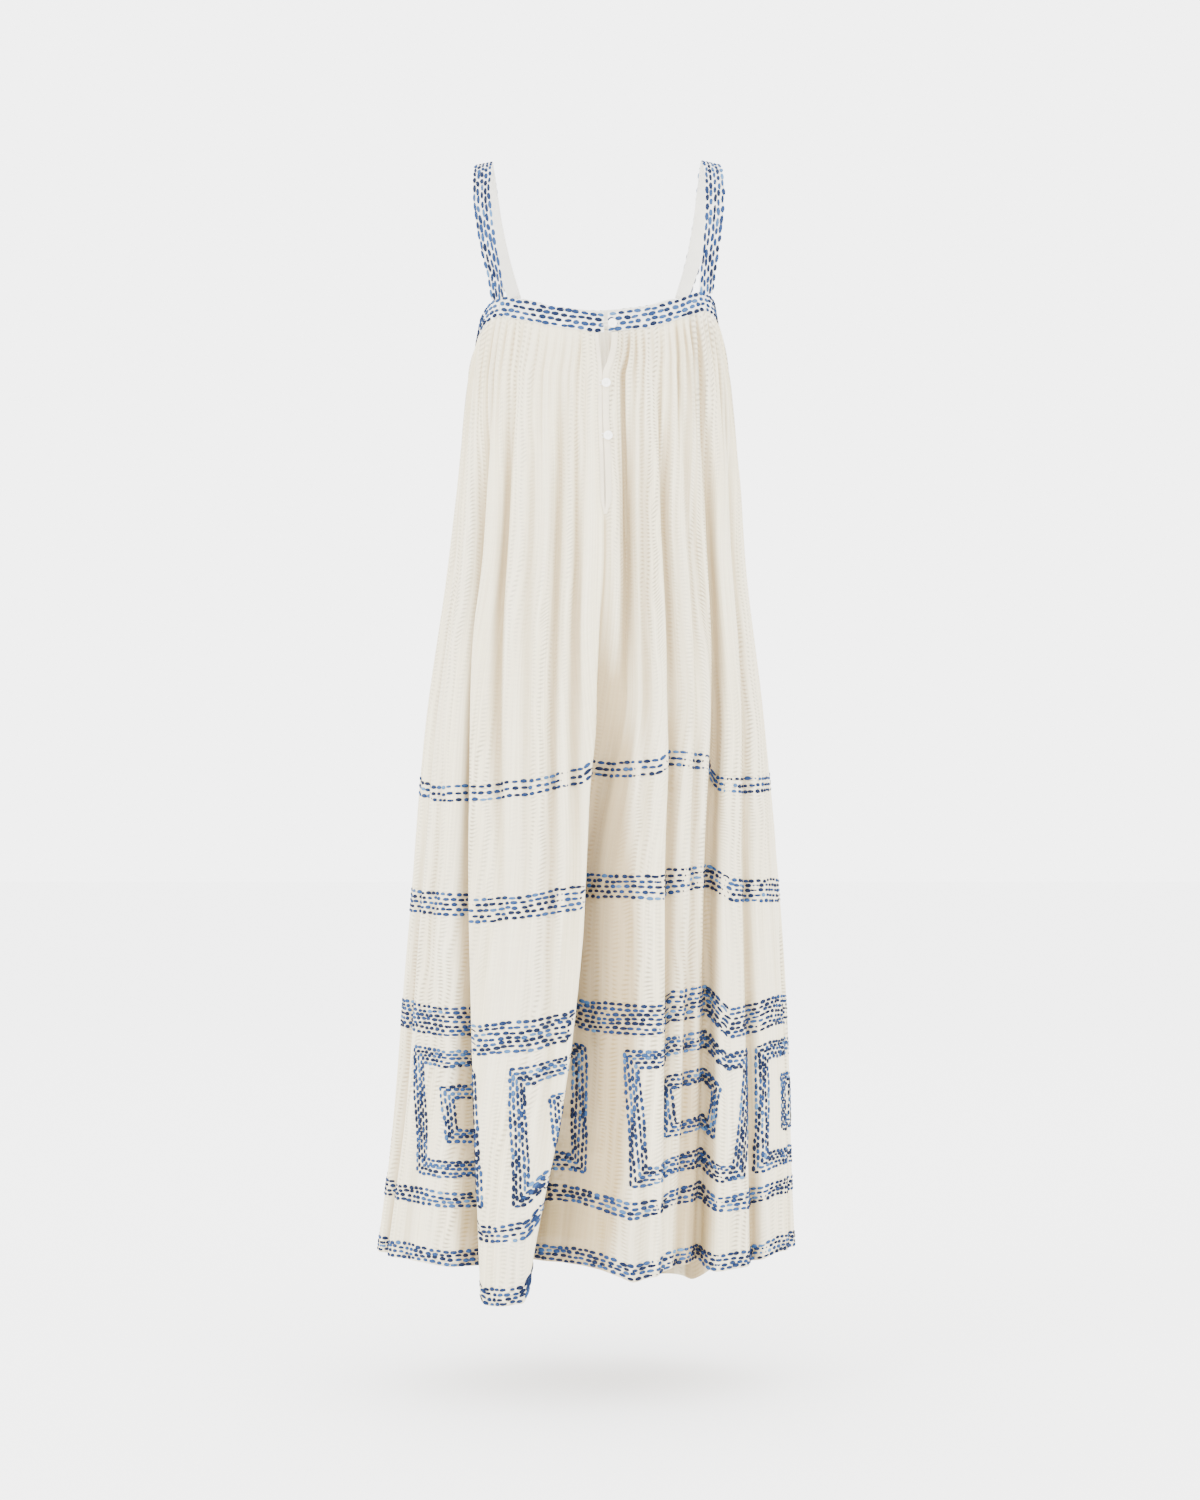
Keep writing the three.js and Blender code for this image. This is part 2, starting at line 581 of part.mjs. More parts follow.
// Strap: a flat ribbon on a smooth path over the shoulder, its ends cut to the top of the band
function strap(path) {
  const steps = 18;
  const places = path.map((_, k) => k);
  const value = (column, at) => smoothPath(places, path.map((row) => row[column]), at);
  const middle = (at) => new THREE.Vector3(value("x", at), value("y", at), value("z", at));
  const rows = [];
  for (let k = 0; k <= steps; k += 1) {
    const at = ((path.length - 1) * k) / steps;
    if (k === 0 || k === steps) {
      rows.push(strapEnd(middle(at), value("wide", at), k > 0));
    } else {
      const along = middle(at + 0.05).sub(middle(at - 0.05)).normalize();
      const tilt = (value("tilt", at) * Math.PI) / 180;
      const turn = (value("turn", at) * Math.PI) / 180;
      const side = new THREE.Vector3(Math.cos(tilt) * Math.cos(turn), Math.sin(turn), Math.sin(tilt));
      side.addScaledVector(along, -side.dot(along)).normalize();
      const wide = value("wide", at);
      rows.push(STRAP_SHARES.map((share) => middle(at).addScaledVector(side, share * wide)));
    }
  }
  return wallFromRows(rows, () => STRAP_WALL);
}

// Points along the top edge of the band, a seam's gap above it
function strapEnd(centre, wide, atFront) {
  const bearing = (Math.atan2(centre.x, -centre.y) * 180) / Math.PI;
  const reach = ((wide / 2 / Math.hypot(centre.x, centre.y)) * 180) / Math.PI;
  return STRAP_SHARES.map((share) => {
    const deg = bearing + (atFront ? -share : share) * 2 * reach;
    const z = bandFoot(deg) + BAND_HEIGHT + STRAP_END_GAP;
    const point = outlinePoint(z, (deg * Math.PI) / 180);
    return new THREE.Vector3(point.x, point.y, z);
  });
}

// Cubic through evenly placed points, with slopes taken across the neighbours
function smoothPath(places, values, at) {
  const last = values.length - 1;
  const i = Math.min(Math.floor(at), last - 1);
  const t = at - i;
  const slope = (k) => {
    if (k === 0) return values[1] - values[0];
    if (k === last) return values[last] - values[last - 1];
    return (values[k + 1] - values[k - 1]) / 2;
  };
  return (1 + 2 * t) * (1 - t) ** 2 * values[i] + t * (1 - t) ** 2 * slope(i)
    + t * t * (3 - 2 * t) * values[i + 1] + t * t * (t - 1) * slope(i + 1);
}

// Outermost face near a place on the middle of the back: of the band, or of a slit binding
function faceAt(x, z, on) {
  if (on === "band") {
    const deg = bearingAcross(x, z);
    return outlinePoint(z, (deg * Math.PI) / 180).y - BAND_WALL / 2;
  }
  const faces = [z - 4, z, z + 4].map((height) => {
    const near = foldedRing(height).points.filter((point) => Math.abs(point.deg) < 30);
    near.sort((a, b) => Math.abs(a.x - x) - Math.abs(b.x - x));
    return near[0].y;
  });
  return (faces[0] + faces[1] + faces[2]) / 3 - CLOTH_WALL / 2 - LAY_GAP - BINDING_WALL;
}

function turnedPart(profile, sides) {
  const points = profile.map(([radius, height]) => new THREE.Vector2(radius, height));
  const lathe = new THREE.LatheGeometry(points, sides);
  const place = lathe.getAttribute("position");
  const ringSize = profile.length;
  const vertices = [];
  const names = new Map();
  const faces = [];
  const nameOf = (k) => {
    const row = k % ringSize;
    const column = Math.floor(k / ringSize) % sides;
    const key = profile[row][0] === 0 ? `pole ${row}` : `${row} ${column}`;
    if (!names.has(key)) {
      names.set(key, vertices.length / 3);
      vertices.push(place.getX(k), place.getY(k), place.getZ(k));
    }
    return names.get(key);
  };
  const index = lathe.getIndex().array;
  for (let f = 0; f < index.length; f += 3) {
    const corner = [nameOf(index[f]), nameOf(index[f + 1]), nameOf(index[f + 2])];
    if (new Set(corner).size === 3) faces.push(...corner);
  }
  return { vertices, faces };
}

// Dished button with a short shank, its axis along -Y
function buttonGeometry(button) {
  const face = faceAt(button.x, button.z, button.on);
  const rim = BUTTON.radius;
  const profile = [
    [0, 0.7], [1.2, 0.7], [1.2, 2.4], [rim - 0.9, 2.4], [rim, 3.1],
    [rim, 3.8], [rim - 0.5, 4.4], [rim - 1.7, 4.4], [rim - 2.4, 3.9], [0, 3.9],
  ];
  const part = turnedPart(profile, BUTTON.sides);
  const vertices = [];
  for (let k = 0; k < part.vertices.length; k += 3) {
    vertices.push(button.x + part.vertices[k], face - part.vertices[k + 1], button.z + part.vertices[k + 2]);
  }
  return closedGeometry(vertices, part.faces);
}

// Thread loop that lies round a button's shank, with both ends over the left half
function loopGeometry(button) {
  const bend = 1.2 + SEAM_GAP + LOOP_THREAD + 0.1;
  const tail = button.on === "band" ? 13 : 8;
  const lift = 1.35;
  const path = [];
  for (let k = 0; k <= 3; k += 1) path.push([button.x - tail + (tail * k) / 4, bend]);
  for (let k = 0; k <= 6; k += 1) {
    const turn = Math.PI / 2 - (Math.PI * k) / 6;
    path.push([button.x + bend * Math.cos(turn), bend * Math.sin(turn)]);
  }
  for (let k = 3; k >= 0; k -= 1) path.push([button.x - tail + (tail * k) / 4, -bend]);
  const vertices = [];
  const faces = [];
  const sides = 6;
  path.forEach(([x, z], k) => {
    const after = path[Math.min(k + 1, path.length - 1)];
    const before = path[Math.max(k - 1, 0)];
    const long = Math.hypot(after[0] - before[0], after[1] - before[1]);
    const nx = -(after[1] - before[1]) / long;
    const nz = (after[0] - before[0]) / long;
    const y = faceAt(x, button.z, button.on) - lift;
    for (let s = 0; s < sides; s += 1) {
      const turn = (2 * Math.PI * s) / sides;
      const out = LOOP_THREAD * Math.cos(turn);
      vertices.push(x + nx * out, y + LOOP_THREAD * Math.sin(turn), button.z + z + nz * out);
    }
  });
  for (let k = 0; k < path.length - 1; k += 1) {
    for (let s = 0; s < sides; s += 1) {
      const a = k * sides + s;
      const b = k * sides + ((s + 1) % sides);
      faces.push(a, b, b + sides, a, b + sides, a + sides);
    }
  }
  const end = (path.length - 1) * sides;
  for (let s = 1; s < sides - 1; s += 1) {
    faces.push(0, s + 1, s, end, end + s, end + s + 1);
  }
  return closedGeometry(vertices, faces);
}

const gauze = new THREE.MeshStandardMaterial({ color: "#ece5d6", roughness: 0.85, side: THREE.DoubleSide });
const banding = new THREE.MeshStandardMaterial({ color: "#c9cdd3", roughness: 0.8 });
const pearl = new THREE.MeshStandardMaterial({ color: "#f1eee6", roughness: 0.3 });
const thread = new THREE.MeshStandardMaterial({ color: "#f2efe8", roughness: 0.8 });

const group = new THREE.Group();
function add(name, geometry, material) {
  const mesh = new THREE.Mesh(geometry, material.clone());
  mesh.name = name;
  group.add(mesh);
}

add("front_panel", skirtPanel(0.25, 0.75, "side", "side"), gauze);
add("back_panel_left", skirtPanel(-0.25, -1e-9, "side", "left"), gauze);
add("back_panel_right", skirtPanel(1e-9, 0.25, "right", "side"), gauze);

const gapEach = SEAM_GAP / 2;
const leftEnd = bearingAcross(7.2, -205);
const rightStart = bearingAcross(11.4, -205);
add("back_band_left", bandPiece(CORNER.leftBack, leftEnd, gapEach, 0), banding);
add("back_band_right", bandPiece(rightStart, CORNER.rightBack, 0, gapEach), banding);
add("underarm_band_left", bandPiece(CORNER.leftFront, CORNER.leftBack, gapEach, gapEach), banding);
add("underarm_band_right", bandPiece(CORNER.rightBack, CORNER.rightFront, gapEach, gapEach), banding);
add("front_band", bandPiece(CORNER.rightFront, CORNER.leftFront + 360, gapEach, gapEach), banding);

add("strap_left", strap(STRAP_PATHS.left), banding);
add("strap_right", strap(STRAP_PATHS.right), banding);

add("placket_left", binding("left"), gauze);
add("placket_right", binding("right"), gauze);

BUTTONS.forEach((button) => {
  add(`button_${button.name}`, buttonGeometry(button), pearl);
  add(`loop_${button.name}`, loopGeometry(button), thread);
});

export default group;
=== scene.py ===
"""Maxi dress, hollow as worn, dressed in gauze, stitched bands, yarn stitches and small buttons.

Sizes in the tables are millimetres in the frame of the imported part: +Z is up, -Y is the back of the
dress, and the origin lies midway between the strap tops. Bearings are degrees round the dress from the
middle of the back, rising towards +X. The cloth position u runs round the skirt from -0.5 to 0.5, with 0
at the centre-back seam. Meshes are made in metres.
"""

import logging
import math
from dataclasses import dataclass
from enum import Enum

import bmesh
import bpy
import numpy as np
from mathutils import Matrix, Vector


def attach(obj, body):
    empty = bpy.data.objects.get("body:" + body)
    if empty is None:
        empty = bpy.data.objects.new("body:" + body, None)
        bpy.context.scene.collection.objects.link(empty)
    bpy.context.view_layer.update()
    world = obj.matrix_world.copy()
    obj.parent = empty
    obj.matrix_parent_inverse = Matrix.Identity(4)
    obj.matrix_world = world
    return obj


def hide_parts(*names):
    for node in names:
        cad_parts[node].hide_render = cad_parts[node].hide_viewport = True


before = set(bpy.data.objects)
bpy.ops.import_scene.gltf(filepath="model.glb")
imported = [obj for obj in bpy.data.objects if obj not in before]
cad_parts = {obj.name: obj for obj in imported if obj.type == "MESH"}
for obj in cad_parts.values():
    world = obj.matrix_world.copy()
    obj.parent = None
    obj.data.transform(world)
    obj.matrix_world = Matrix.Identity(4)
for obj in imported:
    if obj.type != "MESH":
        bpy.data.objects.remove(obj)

LOG = logging.getLogger("dress")
MM = 0.001
SEED = 20


class Slot(Enum):
    """Material slots of the record."""

    GAUZE = "gauze"
    BAND = "band_cloth"
    BUTTON = "button_shell"
    LOOP = "loop_thread"


@dataclass(frozen=True)
class Finish:
    """Look of one material: base colour, roughness and strength of its relief."""

    name: str
    colour: tuple[float, float, float]
    roughness: float
    relief: float


GAUZE_FINISH = Finish("gauze", (0.86, 0.80, 0.69), 0.88, 0.35)
BAND_FINISH = Finish("band cloth", (0.80, 0.78, 0.71), 0.85, 0.5)
YARN_FINISH = Finish("yarn", (0.05, 0.09, 0.22), 0.9, 0.6)
PEARL_FINISH = Finish("pearl", (0.90, 0.88, 0.83), 0.22, 0.1)
THREAD_FINISH = Finish("thread", (0.86, 0.84, 0.79), 0.8, 0.4)
FLOOR_FINISH = Finish("floor", (0.93, 0.93, 0.93), 0.9, 0.0)
BINDING_FINISH = Finish("binding", (0.76, 0.68, 0.51), 0.85, 0.4)

GAUZE_TONES = {
    "dark thread": (0.72, 0.635, 0.43),
    "light thread": (0.86, 0.78, 0.565),
    "patch": (0.74, 0.70, 0.60),
    "line": (0.36, 0.31, 0.22),
    # Painted shade: warm dark tone mixed into the gauze by the fold attribute, deepest in fold hollows and
    # gather troughs
    "fold": (0.30, 0.19, 0.055),
}


@dataclass(frozen=True)
class StudioSizes:
    """Camera, floor, area lights and world, in metres and watts."""

    camera: tuple[float, float, float] = (0.0024, -3.7, -0.704)
    lens: float = 74.0
    sensor: float = 36.0
    floor: float = -1.46
    floor_half: float = 14.0
    aim: tuple[float, float, float] = (0.0, 0.0, -0.75)
    lights: tuple[tuple, ...] = (
        ("key", (-2.6, -2.6, 1.2), 1.6, 80.0),
        ("fill", (2.8, -2.4, 0.8), 1.8, 25.0),
        ("back", (0.0, 3.0, 1.6), 3.0, 30.0),
    )
    world: float = 5.2


@dataclass(frozen=True)
class ClothSizes:
    """Sizes of the skirt cloth and its grid, in millimetres."""

    gathers: int = 80
    columns: int = 720
    rows: int = 184
    gather_foot: float = -300.0
    gather_step: float = 4.0
    top: float = -213.0
    hem: float = -1306.0
    hem_turn: float = 74.0
    hem_thick: float = 1.5
    slit_end: float = -430.0
    foot_mid: float = -216.5
    ring_steps: int = 1440
    levels: tuple[float, ...] = (-200.0, -476.0, -890.0, -1300.0)
    lift_levels: tuple[float, ...] = (-200.0, -737.0, -873.0, -1015.0, -1300.0)


@dataclass(frozen=True)
class ReliefSizes:
    """How the gathers, ripples and seam stand out, and how strongly they are darkened with painted shade:
    shares, lengths in millimetres, waves as for _waves.
    """

    reach: tuple[float, float] = (0.45, 2.2)
    size: tuple[float, float] = (0.2, 1.45)
    size_waves: tuple = (0.8, 0.3, (9, 1.0))
    calm_waves: tuple = (0.75, 0.35, (4, 0.6), (7, 2.2))
    swing: float = 4.6
    slit_flat: float = 14.0
    slit_rise: float = 12.0
    front_rise: float = 900.0
    ripple_top: float = -260.0
    ripple_run: float = 300.0
    ripple_drift: float = 260.0
    seam_run: float = 20.0
    # Height and width of the seam's dip, then strength and width of the painted shade line along it
    seam: tuple = ((-0.8, 2.5), (7.0, 1.6))
    # Weights of the painted shade from the cloth's lift, from the gathers, and from the gathers near the
    # band
    painted_shade_weights: tuple[float, float, float] = (2.4, 2.2, 2.4)


RELIEF = ReliefSizes()


@dataclass(frozen=True)
class BandSizes:
    """Sizes of the doubled bands, straps and slit bindings, in millimetres."""

    height: float = 23.5
    wall: float = 2.4
    strap_wall: float = 2.2
    strap_tucks: tuple[float, float] = (3.0, 6.0)
    strap_steps: int = 110
    back_ends: tuple[float, float] = (7.2, 11.4)
    back_level: float = -205.0
    bindings: tuple[float, float] = (4.0, 7.0)
    binding_wall: float = 1.0
    binding_top: float = -216.0
    binding_tail: float = 9.0


# Distance from the slit's edge, as a share of the binding's width, and height over the cloth
BINDING_PROFILE = ((-0.5, 0.0), (-0.4, 1.0), (0.1, 1.35), (0.5, 1.1), (0.9, 1.3), (1.0, 0.8), (1.02, 0.1))

# Distance from stitch to stitch, and width and height of the stitches against the usual ones
TAPE_STITCHES = {"straps": (12.0, 0.95), "bands": (10.0, 1.12)}


# z, half size to the left, right, back and front, and how square the outline is
SECTIONS = (
    (-140, 131, 133, 89, 96, 2.7),
    (-200, 141, 143, 96, 110, 2.7),
    (-260, 152, 155, 103, 122, 2.6),
    (-368, 166, 169, 114, 130, 2.5),
    (-476, 180, 177, 122, 132, 2.4),
    (-668, 207, 201, 136, 140, 2.35),
    (-890, 226, 219, 152, 150, 2.3),
    (-1112, 243, 229, 168, 160, 2.25),
    (-1300, 266, 234, 182, 172, 2.2),
)


@dataclass(frozen=True)
class Fold:
    """One long fold: bearings and depths at waist, knee and hem, half widths at waist and hem."""

    deg: tuple[float, float, float]
    deep: tuple[float, float, float]
    wide: tuple[float, float]
    flat: float = 2.0
    lean: float = 0.0


FOLDS = (
    Fold((-76, -75, -76), (7, 10, 16), (9, 10)),
    Fold((-61, -55, -45), (17, 34, 50), (8, 12), 2.6, -0.55),
    Fold((-46, -41, -31), (0, -4, -16), (20, 18)),
    Fold((-48, -39, -30), (14, 7, 0), (7, 9)),
    Fold((-35, -30, -26), (7, 4, 0), (8, 9)),
    Fold((-22, -20, -20), (13, 8, 0), (7, 9)),
    Fold((-11, -12, -16), (9, 5, 0), (6, 9)),
    Fold((6, 7, -7), (0, 50, 70), (8, 40), 4.0, 0.95),
    Fold((16, 11, 9), (20, 12, 0), (8, 9)),
    Fold((26, 20, 16), (9, 5, 4), (7, 9)),
    Fold((37, 32, 24), (13, 15, 8), (7, 8), 2.0, 0.45),
    Fold((47, 40, 30), (8, 10, 12), (7, 9), 2.0, 0.2),
    Fold((57, 46, 36.5), (18, 28, 36), (8, 12), 2.6, -0.25),
    Fold((70, 60, 57), (8, 12, 18), (8, 9), 2.0, -0.4),
    Fold((88, 84, 82), (7, 12, 24), (9, 12)),
    Fold((104, 104, 104), (8, 15, 25), (10, 16)),
    Fold((120, 122, 122), (10, 20, 32), (10, 18)),
    Fold((138, 137, 140), (8, 14, 21), (9, 15)),
    Fold((152, 153, 157), (10, 18, 29), (10, 17)),
    Fold((168, 170, 174), (7, 15, 22), (9, 18)),
    Fold((-176, -174, -170), (10, 16, 27), (10, 18)),
    Fold((-160, -158, -155), (7, 14, 21), (9, 15)),
    Fold((-145, -142, -140), (10, 20, 31), (10, 18)),
    Fold((-129, -125, -122), (8, 14, 20), (9, 16)),
    Fold((-112, -109, -105), (10, 18, 29), (10, 17)),
    Fold((-94, -91, -88), (6, 12, 19), (9, 14)),
)

# Bearing at knee and hem, then the lift of the cloth at each of ClothSizes.lift_levels
LIFTS = (
    (-95, -95, 0, -8, -8, 0, 7),
    (-66, -62, 0, -19, -11, -4, 9),
    (-56, -46, 0, -17, -11, -6, 6),
    (-50, -38, 0, -17, -18, -25, -34),
    (-34, -26, 0, -12, -13, -20, -30),
    (-8, -20, 0, 2, -2, -8, 4),
    (0, -14, 0, 14, 13, 14, 11),
    (6, 4, 0, 14, 13, 12, 9),
    (13, 13, 0, 10, 11, 0, -6),
    (27, 20, 0, 12, 10, 0, 0),
    (33, 29, 0, 24, 18, 15, 10),
    (46, 36, 0, 19, 22, 20, 12),
    (54, 41, 0, -8, 7, -7, 2),
    (61, 52, 0, -9, 4, -4, 4),
    (68, 68, 0, -9, 4, 4, 14),
    (100, 100, 0, -5, 0, 0, 5),
    (132, 126, 0, -5, -5, -8, -22),
    (148, 141, 0, -8, -8, -12, -55),
    (158, 158, 0, -8, -8, -10, -50),
    (172, 170, 0, -5, -5, -5, -8),
    (-150, -150, 0, -5, -5, -5, -5),
    (-120, -120, 0, -5, -2, 0, 0),
)

# z, bearing of the centre-back seam, distance of the left and right edge from it
SEAM = (
    (-200, 4.8, 8.2, 8.2),
    (-218, 4.8, 8.0, 8.2),
    (-232, 4.6, 6.8, 7.6),
    (-250, 3.9, 3.8, 4.6),
    (-268, 2.8, 0.7, 0.7),
    (-310, 2.7, 0.9, 0.9),
    (-365, 3.5, 1.2, 1.2),
    (-420, 3.9, 1.4, 1.4),
    (-440, 3.9, 0.0, 0.0),
    (-700, 3.0, 0.0, 0.0),
    (-890, 1.0, 0.0, 0.0),
    (-1300, -8.0, 0.0, 0.0),
)

# Bearing and height of the lower edge of the band
BAND_FOOT = (
    (-180, -186), (-150, -181), (-132, -174), (-118, -196), (-104, -219), (-94, -224), (-86, -219.5),
    (-77.5, -210), (-70, -200.5), (-65, -196), (-59, -193.5), (-54, -196), (-42.5, -202), (-34, -206.5),
    (-25, -210), (-12.5, -213.5), (3, -216.5), (12, -215), (30.5, -210.5), (39, -206), (50, -198),
    (60, -189), (65, -186), (75.5, -189.5), (84, -195), (95, -212), (105, -216), (119, -196), (132, -174),
    (150, -181), (180, -186),
)

# z, share of the band's line that the cloth still follows, half height of the gathers
TOP_ROWS = (
    (-213, 1.0, 0.5),
    (-217, 1.0, 0.8),
    (-222, 0.94, 1.9),
    (-232, 0.8, 2.9),
    (-250, 0.5, 3.1),
    (-270, 0.25, 2.6),
    (-310, 0.05, 1.5),
    (-365, 0.0, 0.8),
    (-432, 0.0, 0.42),
    (-520, 0.0, 0.25),
    (-625, 0.0, 0.18),
    (-737, 0.0, 0.15),
    (-900, 0.0, 0.12),
    (-1306, 0.0, 0.1),
)

# x, y, z, width, tilt and turn of each strap, from the back band to the front band
STRAP_PATHS = {
    "left": (
        (-118, -61, -170, 20, 0, -40),
        (-121, -72, -145, 20, 0, -30),
        (-128, -78, -114, 20.5, 2, -18),
        (-134, -75, -78, 20.5, 5, -8),
        (-137, -64, -46, 21, 8, -2),
        (-136.5, -42, -18, 21, 11, 0),
        (-136, -12, -4, 21, 12, 0),
        (-135, 20, -10, 21, 11, 0),
        (-132, 48, -32, 21, 8, 4),
        (-126, 68, -68, 20.5, 5, 12),
        (-116, 78, -108, 20, 2, 24),
        (-102, 80, -146, 20, 0, 34),
    ),
    "right": (
        (128, -51, -162, 21, 0, 43),
        (129.5, -66, -138, 21, 0, 32),
        (132.5, -76, -112, 21, -2, 20),
        (136.5, -74, -78, 21.5, -5, 9),
        (138, -63, -44, 22, -9, 2),
        (136.5, -41, -16, 22, -12, 0),
        (134, -12, -3, 22, -13, 0),
        (133, 20, -9, 22, -12, 0),
        (130, 48, -31, 21, -8, -4),
        (125, 68, -68, 20.5, -5, -12),
        (116, 78, -108, 20, -2, -24),
        (102, 80, -146, 20, 0, -34),
    ),
}


@dataclass(frozen=True)
class StitchBand:
    """A band of running-stitch rows round the skirt: height of its first row, rows and their pitch."""

    name: str
    z: float
    rows: int
    pitch: float
    dark: tuple[float, float] = (0.05, 0.18)


STITCH_BANDS = (
    StitchBand("thigh", -729.0, 3, 7.5),
    StitchBand("knee", -861.0, 5, 6.0),
    StitchBand("calf", -999.0, 7, 5.2),
    StitchBand("low", -1220.0, 4, 5.2),
    StitchBand("hem", -1289.0, 4, 4.8),
)


@dataclass(frozen=True)
class Square:
    """A stitched square: its left and right edges along the cloth, each at its top and its foot."""

    left: tuple[float, float]
    right: tuple[float, float]


# Millimetres from the back seam, going round to +X
SQUARES = (
    Square((-331, -316), (-175, -150)),
    Square((-129, -107), (47, 70)),
    Square((104, 134), (320, 318)),
    Square((334, 354), (505, 546)),
    Square((571, 612), (756, 811)),
    Square((800, 860), (983, 1048)),
    Square((1018, 1092), (1203, 1292)),
)


@dataclass(frozen=True)
class SquareSizes:
    """Heights and rows of the stitched squares, in millimetres."""

    top: float = -1050.0
    bottom: float = -1200.0
    rows: int = 5
    inner_rows: int = 4
    pitch: float = 4.4
    inner_drop: float = 42.0
    inner_inset: float = 48.0
    stitch: float = 8.4
    dark: tuple[float, float] = (-0.02, 0.12)


@dataclass(frozen=True)
class StitchSizes:
    """One running stitch, in millimetres, with its middle's lift as a share of its height."""

    long: float = 8.8
    wide: float = 4.5
    high: float = 2.0
    pitch: float = 9.6
    lift: float = 0.28


@dataclass(frozen=True)
class ButtonSizes:
    """Standing height of a button, its thread and its loop, in millimetres."""

    stand: float = 2.4
    shank: float = 1.2
    hole: float = 1.1
    loop: float = 0.5
    band_tail: float = 13.0
    slit_tail: float = 8.0


# Distance from the middle and height over its back face of each point of a button
BUTTON_PROFILE = ((0.02, 0.0), (4.2, 0.0), (5.1, 0.35), (5.4, 0.9), (5.3, 1.5), (4.8, 1.95), (4.1, 2.0),
                  (3.5, 1.75), (2.8, 1.5), (0.02, 1.45))

# Name, x, height and whether it sits on the band
BUTTONS = (("top", 17.0, -205.5, True), ("middle", 9.6, -276.0, False), ("low", 11.9, -338.0, False))

YARNS = ((0.006, 0.009, 0.030), (0.014, 0.032, 0.098), (0.028, 0.072, 0.180), (0.070, 0.165, 0.310))
YARN_TONES = (0.0, 0.45, 0.75, 1.0)

# Share and length in millimetres of each wave of the yarn's dye
DYE_WAVES = ((0.28, 31.0), (0.22, 13.0))

# Share, turns and start of each wave that shapes a gather
CRESTS = ((1.0, 1, 0.0), (0.34, 2, 1.1), (0.14, 3, 2.0))

# Height in millimetres, turns round the skirt, drift down it and start of each ripple
RIPPLES = ((1.3, 23, 1.3, 0.0), (0.9, 37, -1.9, 1.0), (0.5, 61, 2.7, 2.0))

# Fold depth in millimetres that has the full shade
FULL_SHADE = 14.0


def cubic(t: np.ndarray, start: np.ndarray, end: np.ndarray, leave: np.ndarray,
          arrive: np.ndarray) -> np.ndarray:
    """Cubic curve between two values."""
    return ((1 + 2 * t) * (1 - t) ** 2 * start + t * (1 - t) ** 2 * leave
            + t * t * (3 - 2 * t) * end + t * t * (t - 1) * arrive)


def pchip(places: np.ndarray, values: np.ndarray, at: np.ndarray) -> np.ndarray:
    """Monotone cubic through a table.

    Args:
        places: rising table places.
        values: value at each place.
        at: where to read it.
    Returns:
        The values there, held at the table's ends.
    """
    x = np.asarray(places, float)
    y = np.asarray(values, float)
    width = np.diff(x)
    slope = np.diff(y) / width
    tangent = np.zeros_like(y)
    tangent[0] = slope[0]
    tangent[-1] = slope[-1]
    for i in range(1, len(x) - 1):
        if slope[i - 1] * slope[i] > 0:
            w1 = 2 * width[i] + width[i - 1]
            w2 = width[i] + 2 * width[i - 1]
            tangent[i] = (w1 + w2) / (w1 / slope[i - 1] + w2 / slope[i])
    q = np.clip(np.asarray(at, float), x[0], x[-1])
    i = np.clip(np.searchsorted(x, q) - 1, 0, len(x) - 2)
    t = (q - x[i]) / width[i]
    return cubic(t, y[i], y[i + 1], width[i] * tangent[i], width[i] * tangent[i + 1])


def step01(t: np.ndarray) -> np.ndarray:
    """Smooth step from 0 to 1."""
    c = np.clip(t, 0, 1)
    return c * c * (3 - 2 * c)


def by_height(table: tuple, column: int, z: float) -> float:
    """One column of a table whose first column is a falling height."""
    rows = np.array(table, float)
    return float(pchip(-rows[:, 0], rows[:, column], -z))


def band_foot(deg: np.ndarray) -> np.ndarray:
    """Height of the band's lower edge."""
    rows = np.array(BAND_FOOT, float)
    return pchip(rows[:, 0], rows[:, 1], (np.asarray(deg, float) + 180) % 360 - 180)


def outline(z: float | np.ndarray, angle: np.ndarray) -> tuple[np.ndarray, np.ndarray]:
    """Smooth outline of the dress at a height, without folds.

    Args:
        z: height in millimetres, one for all bearings or one for each.
        angle: bearings in radians.
    Returns:
        The x and y of each point.
    """
    rows = np.array(SECTIONS, float)
    left, right, back, front, square = (pchip(-rows[:, 0], rows[:, k], -np.asarray(z)) for k in range(1, 6))
    sine = np.sin(angle)
    cosine = np.cos(angle)
    across = np.abs(sine) / np.where(sine >= 0, right, left)
    along = np.abs(cosine) / np.where(cosine >= 0, back, front)
    reach = (across ** square + along ** square) ** (-1 / square)
    return reach * sine, -reach * cosine


def unit(v: np.ndarray) -> np.ndarray:
    """Vectors scaled to length one."""
    return v / np.maximum(np.linalg.norm(v, axis=-1, keepdims=True), 1e-9)


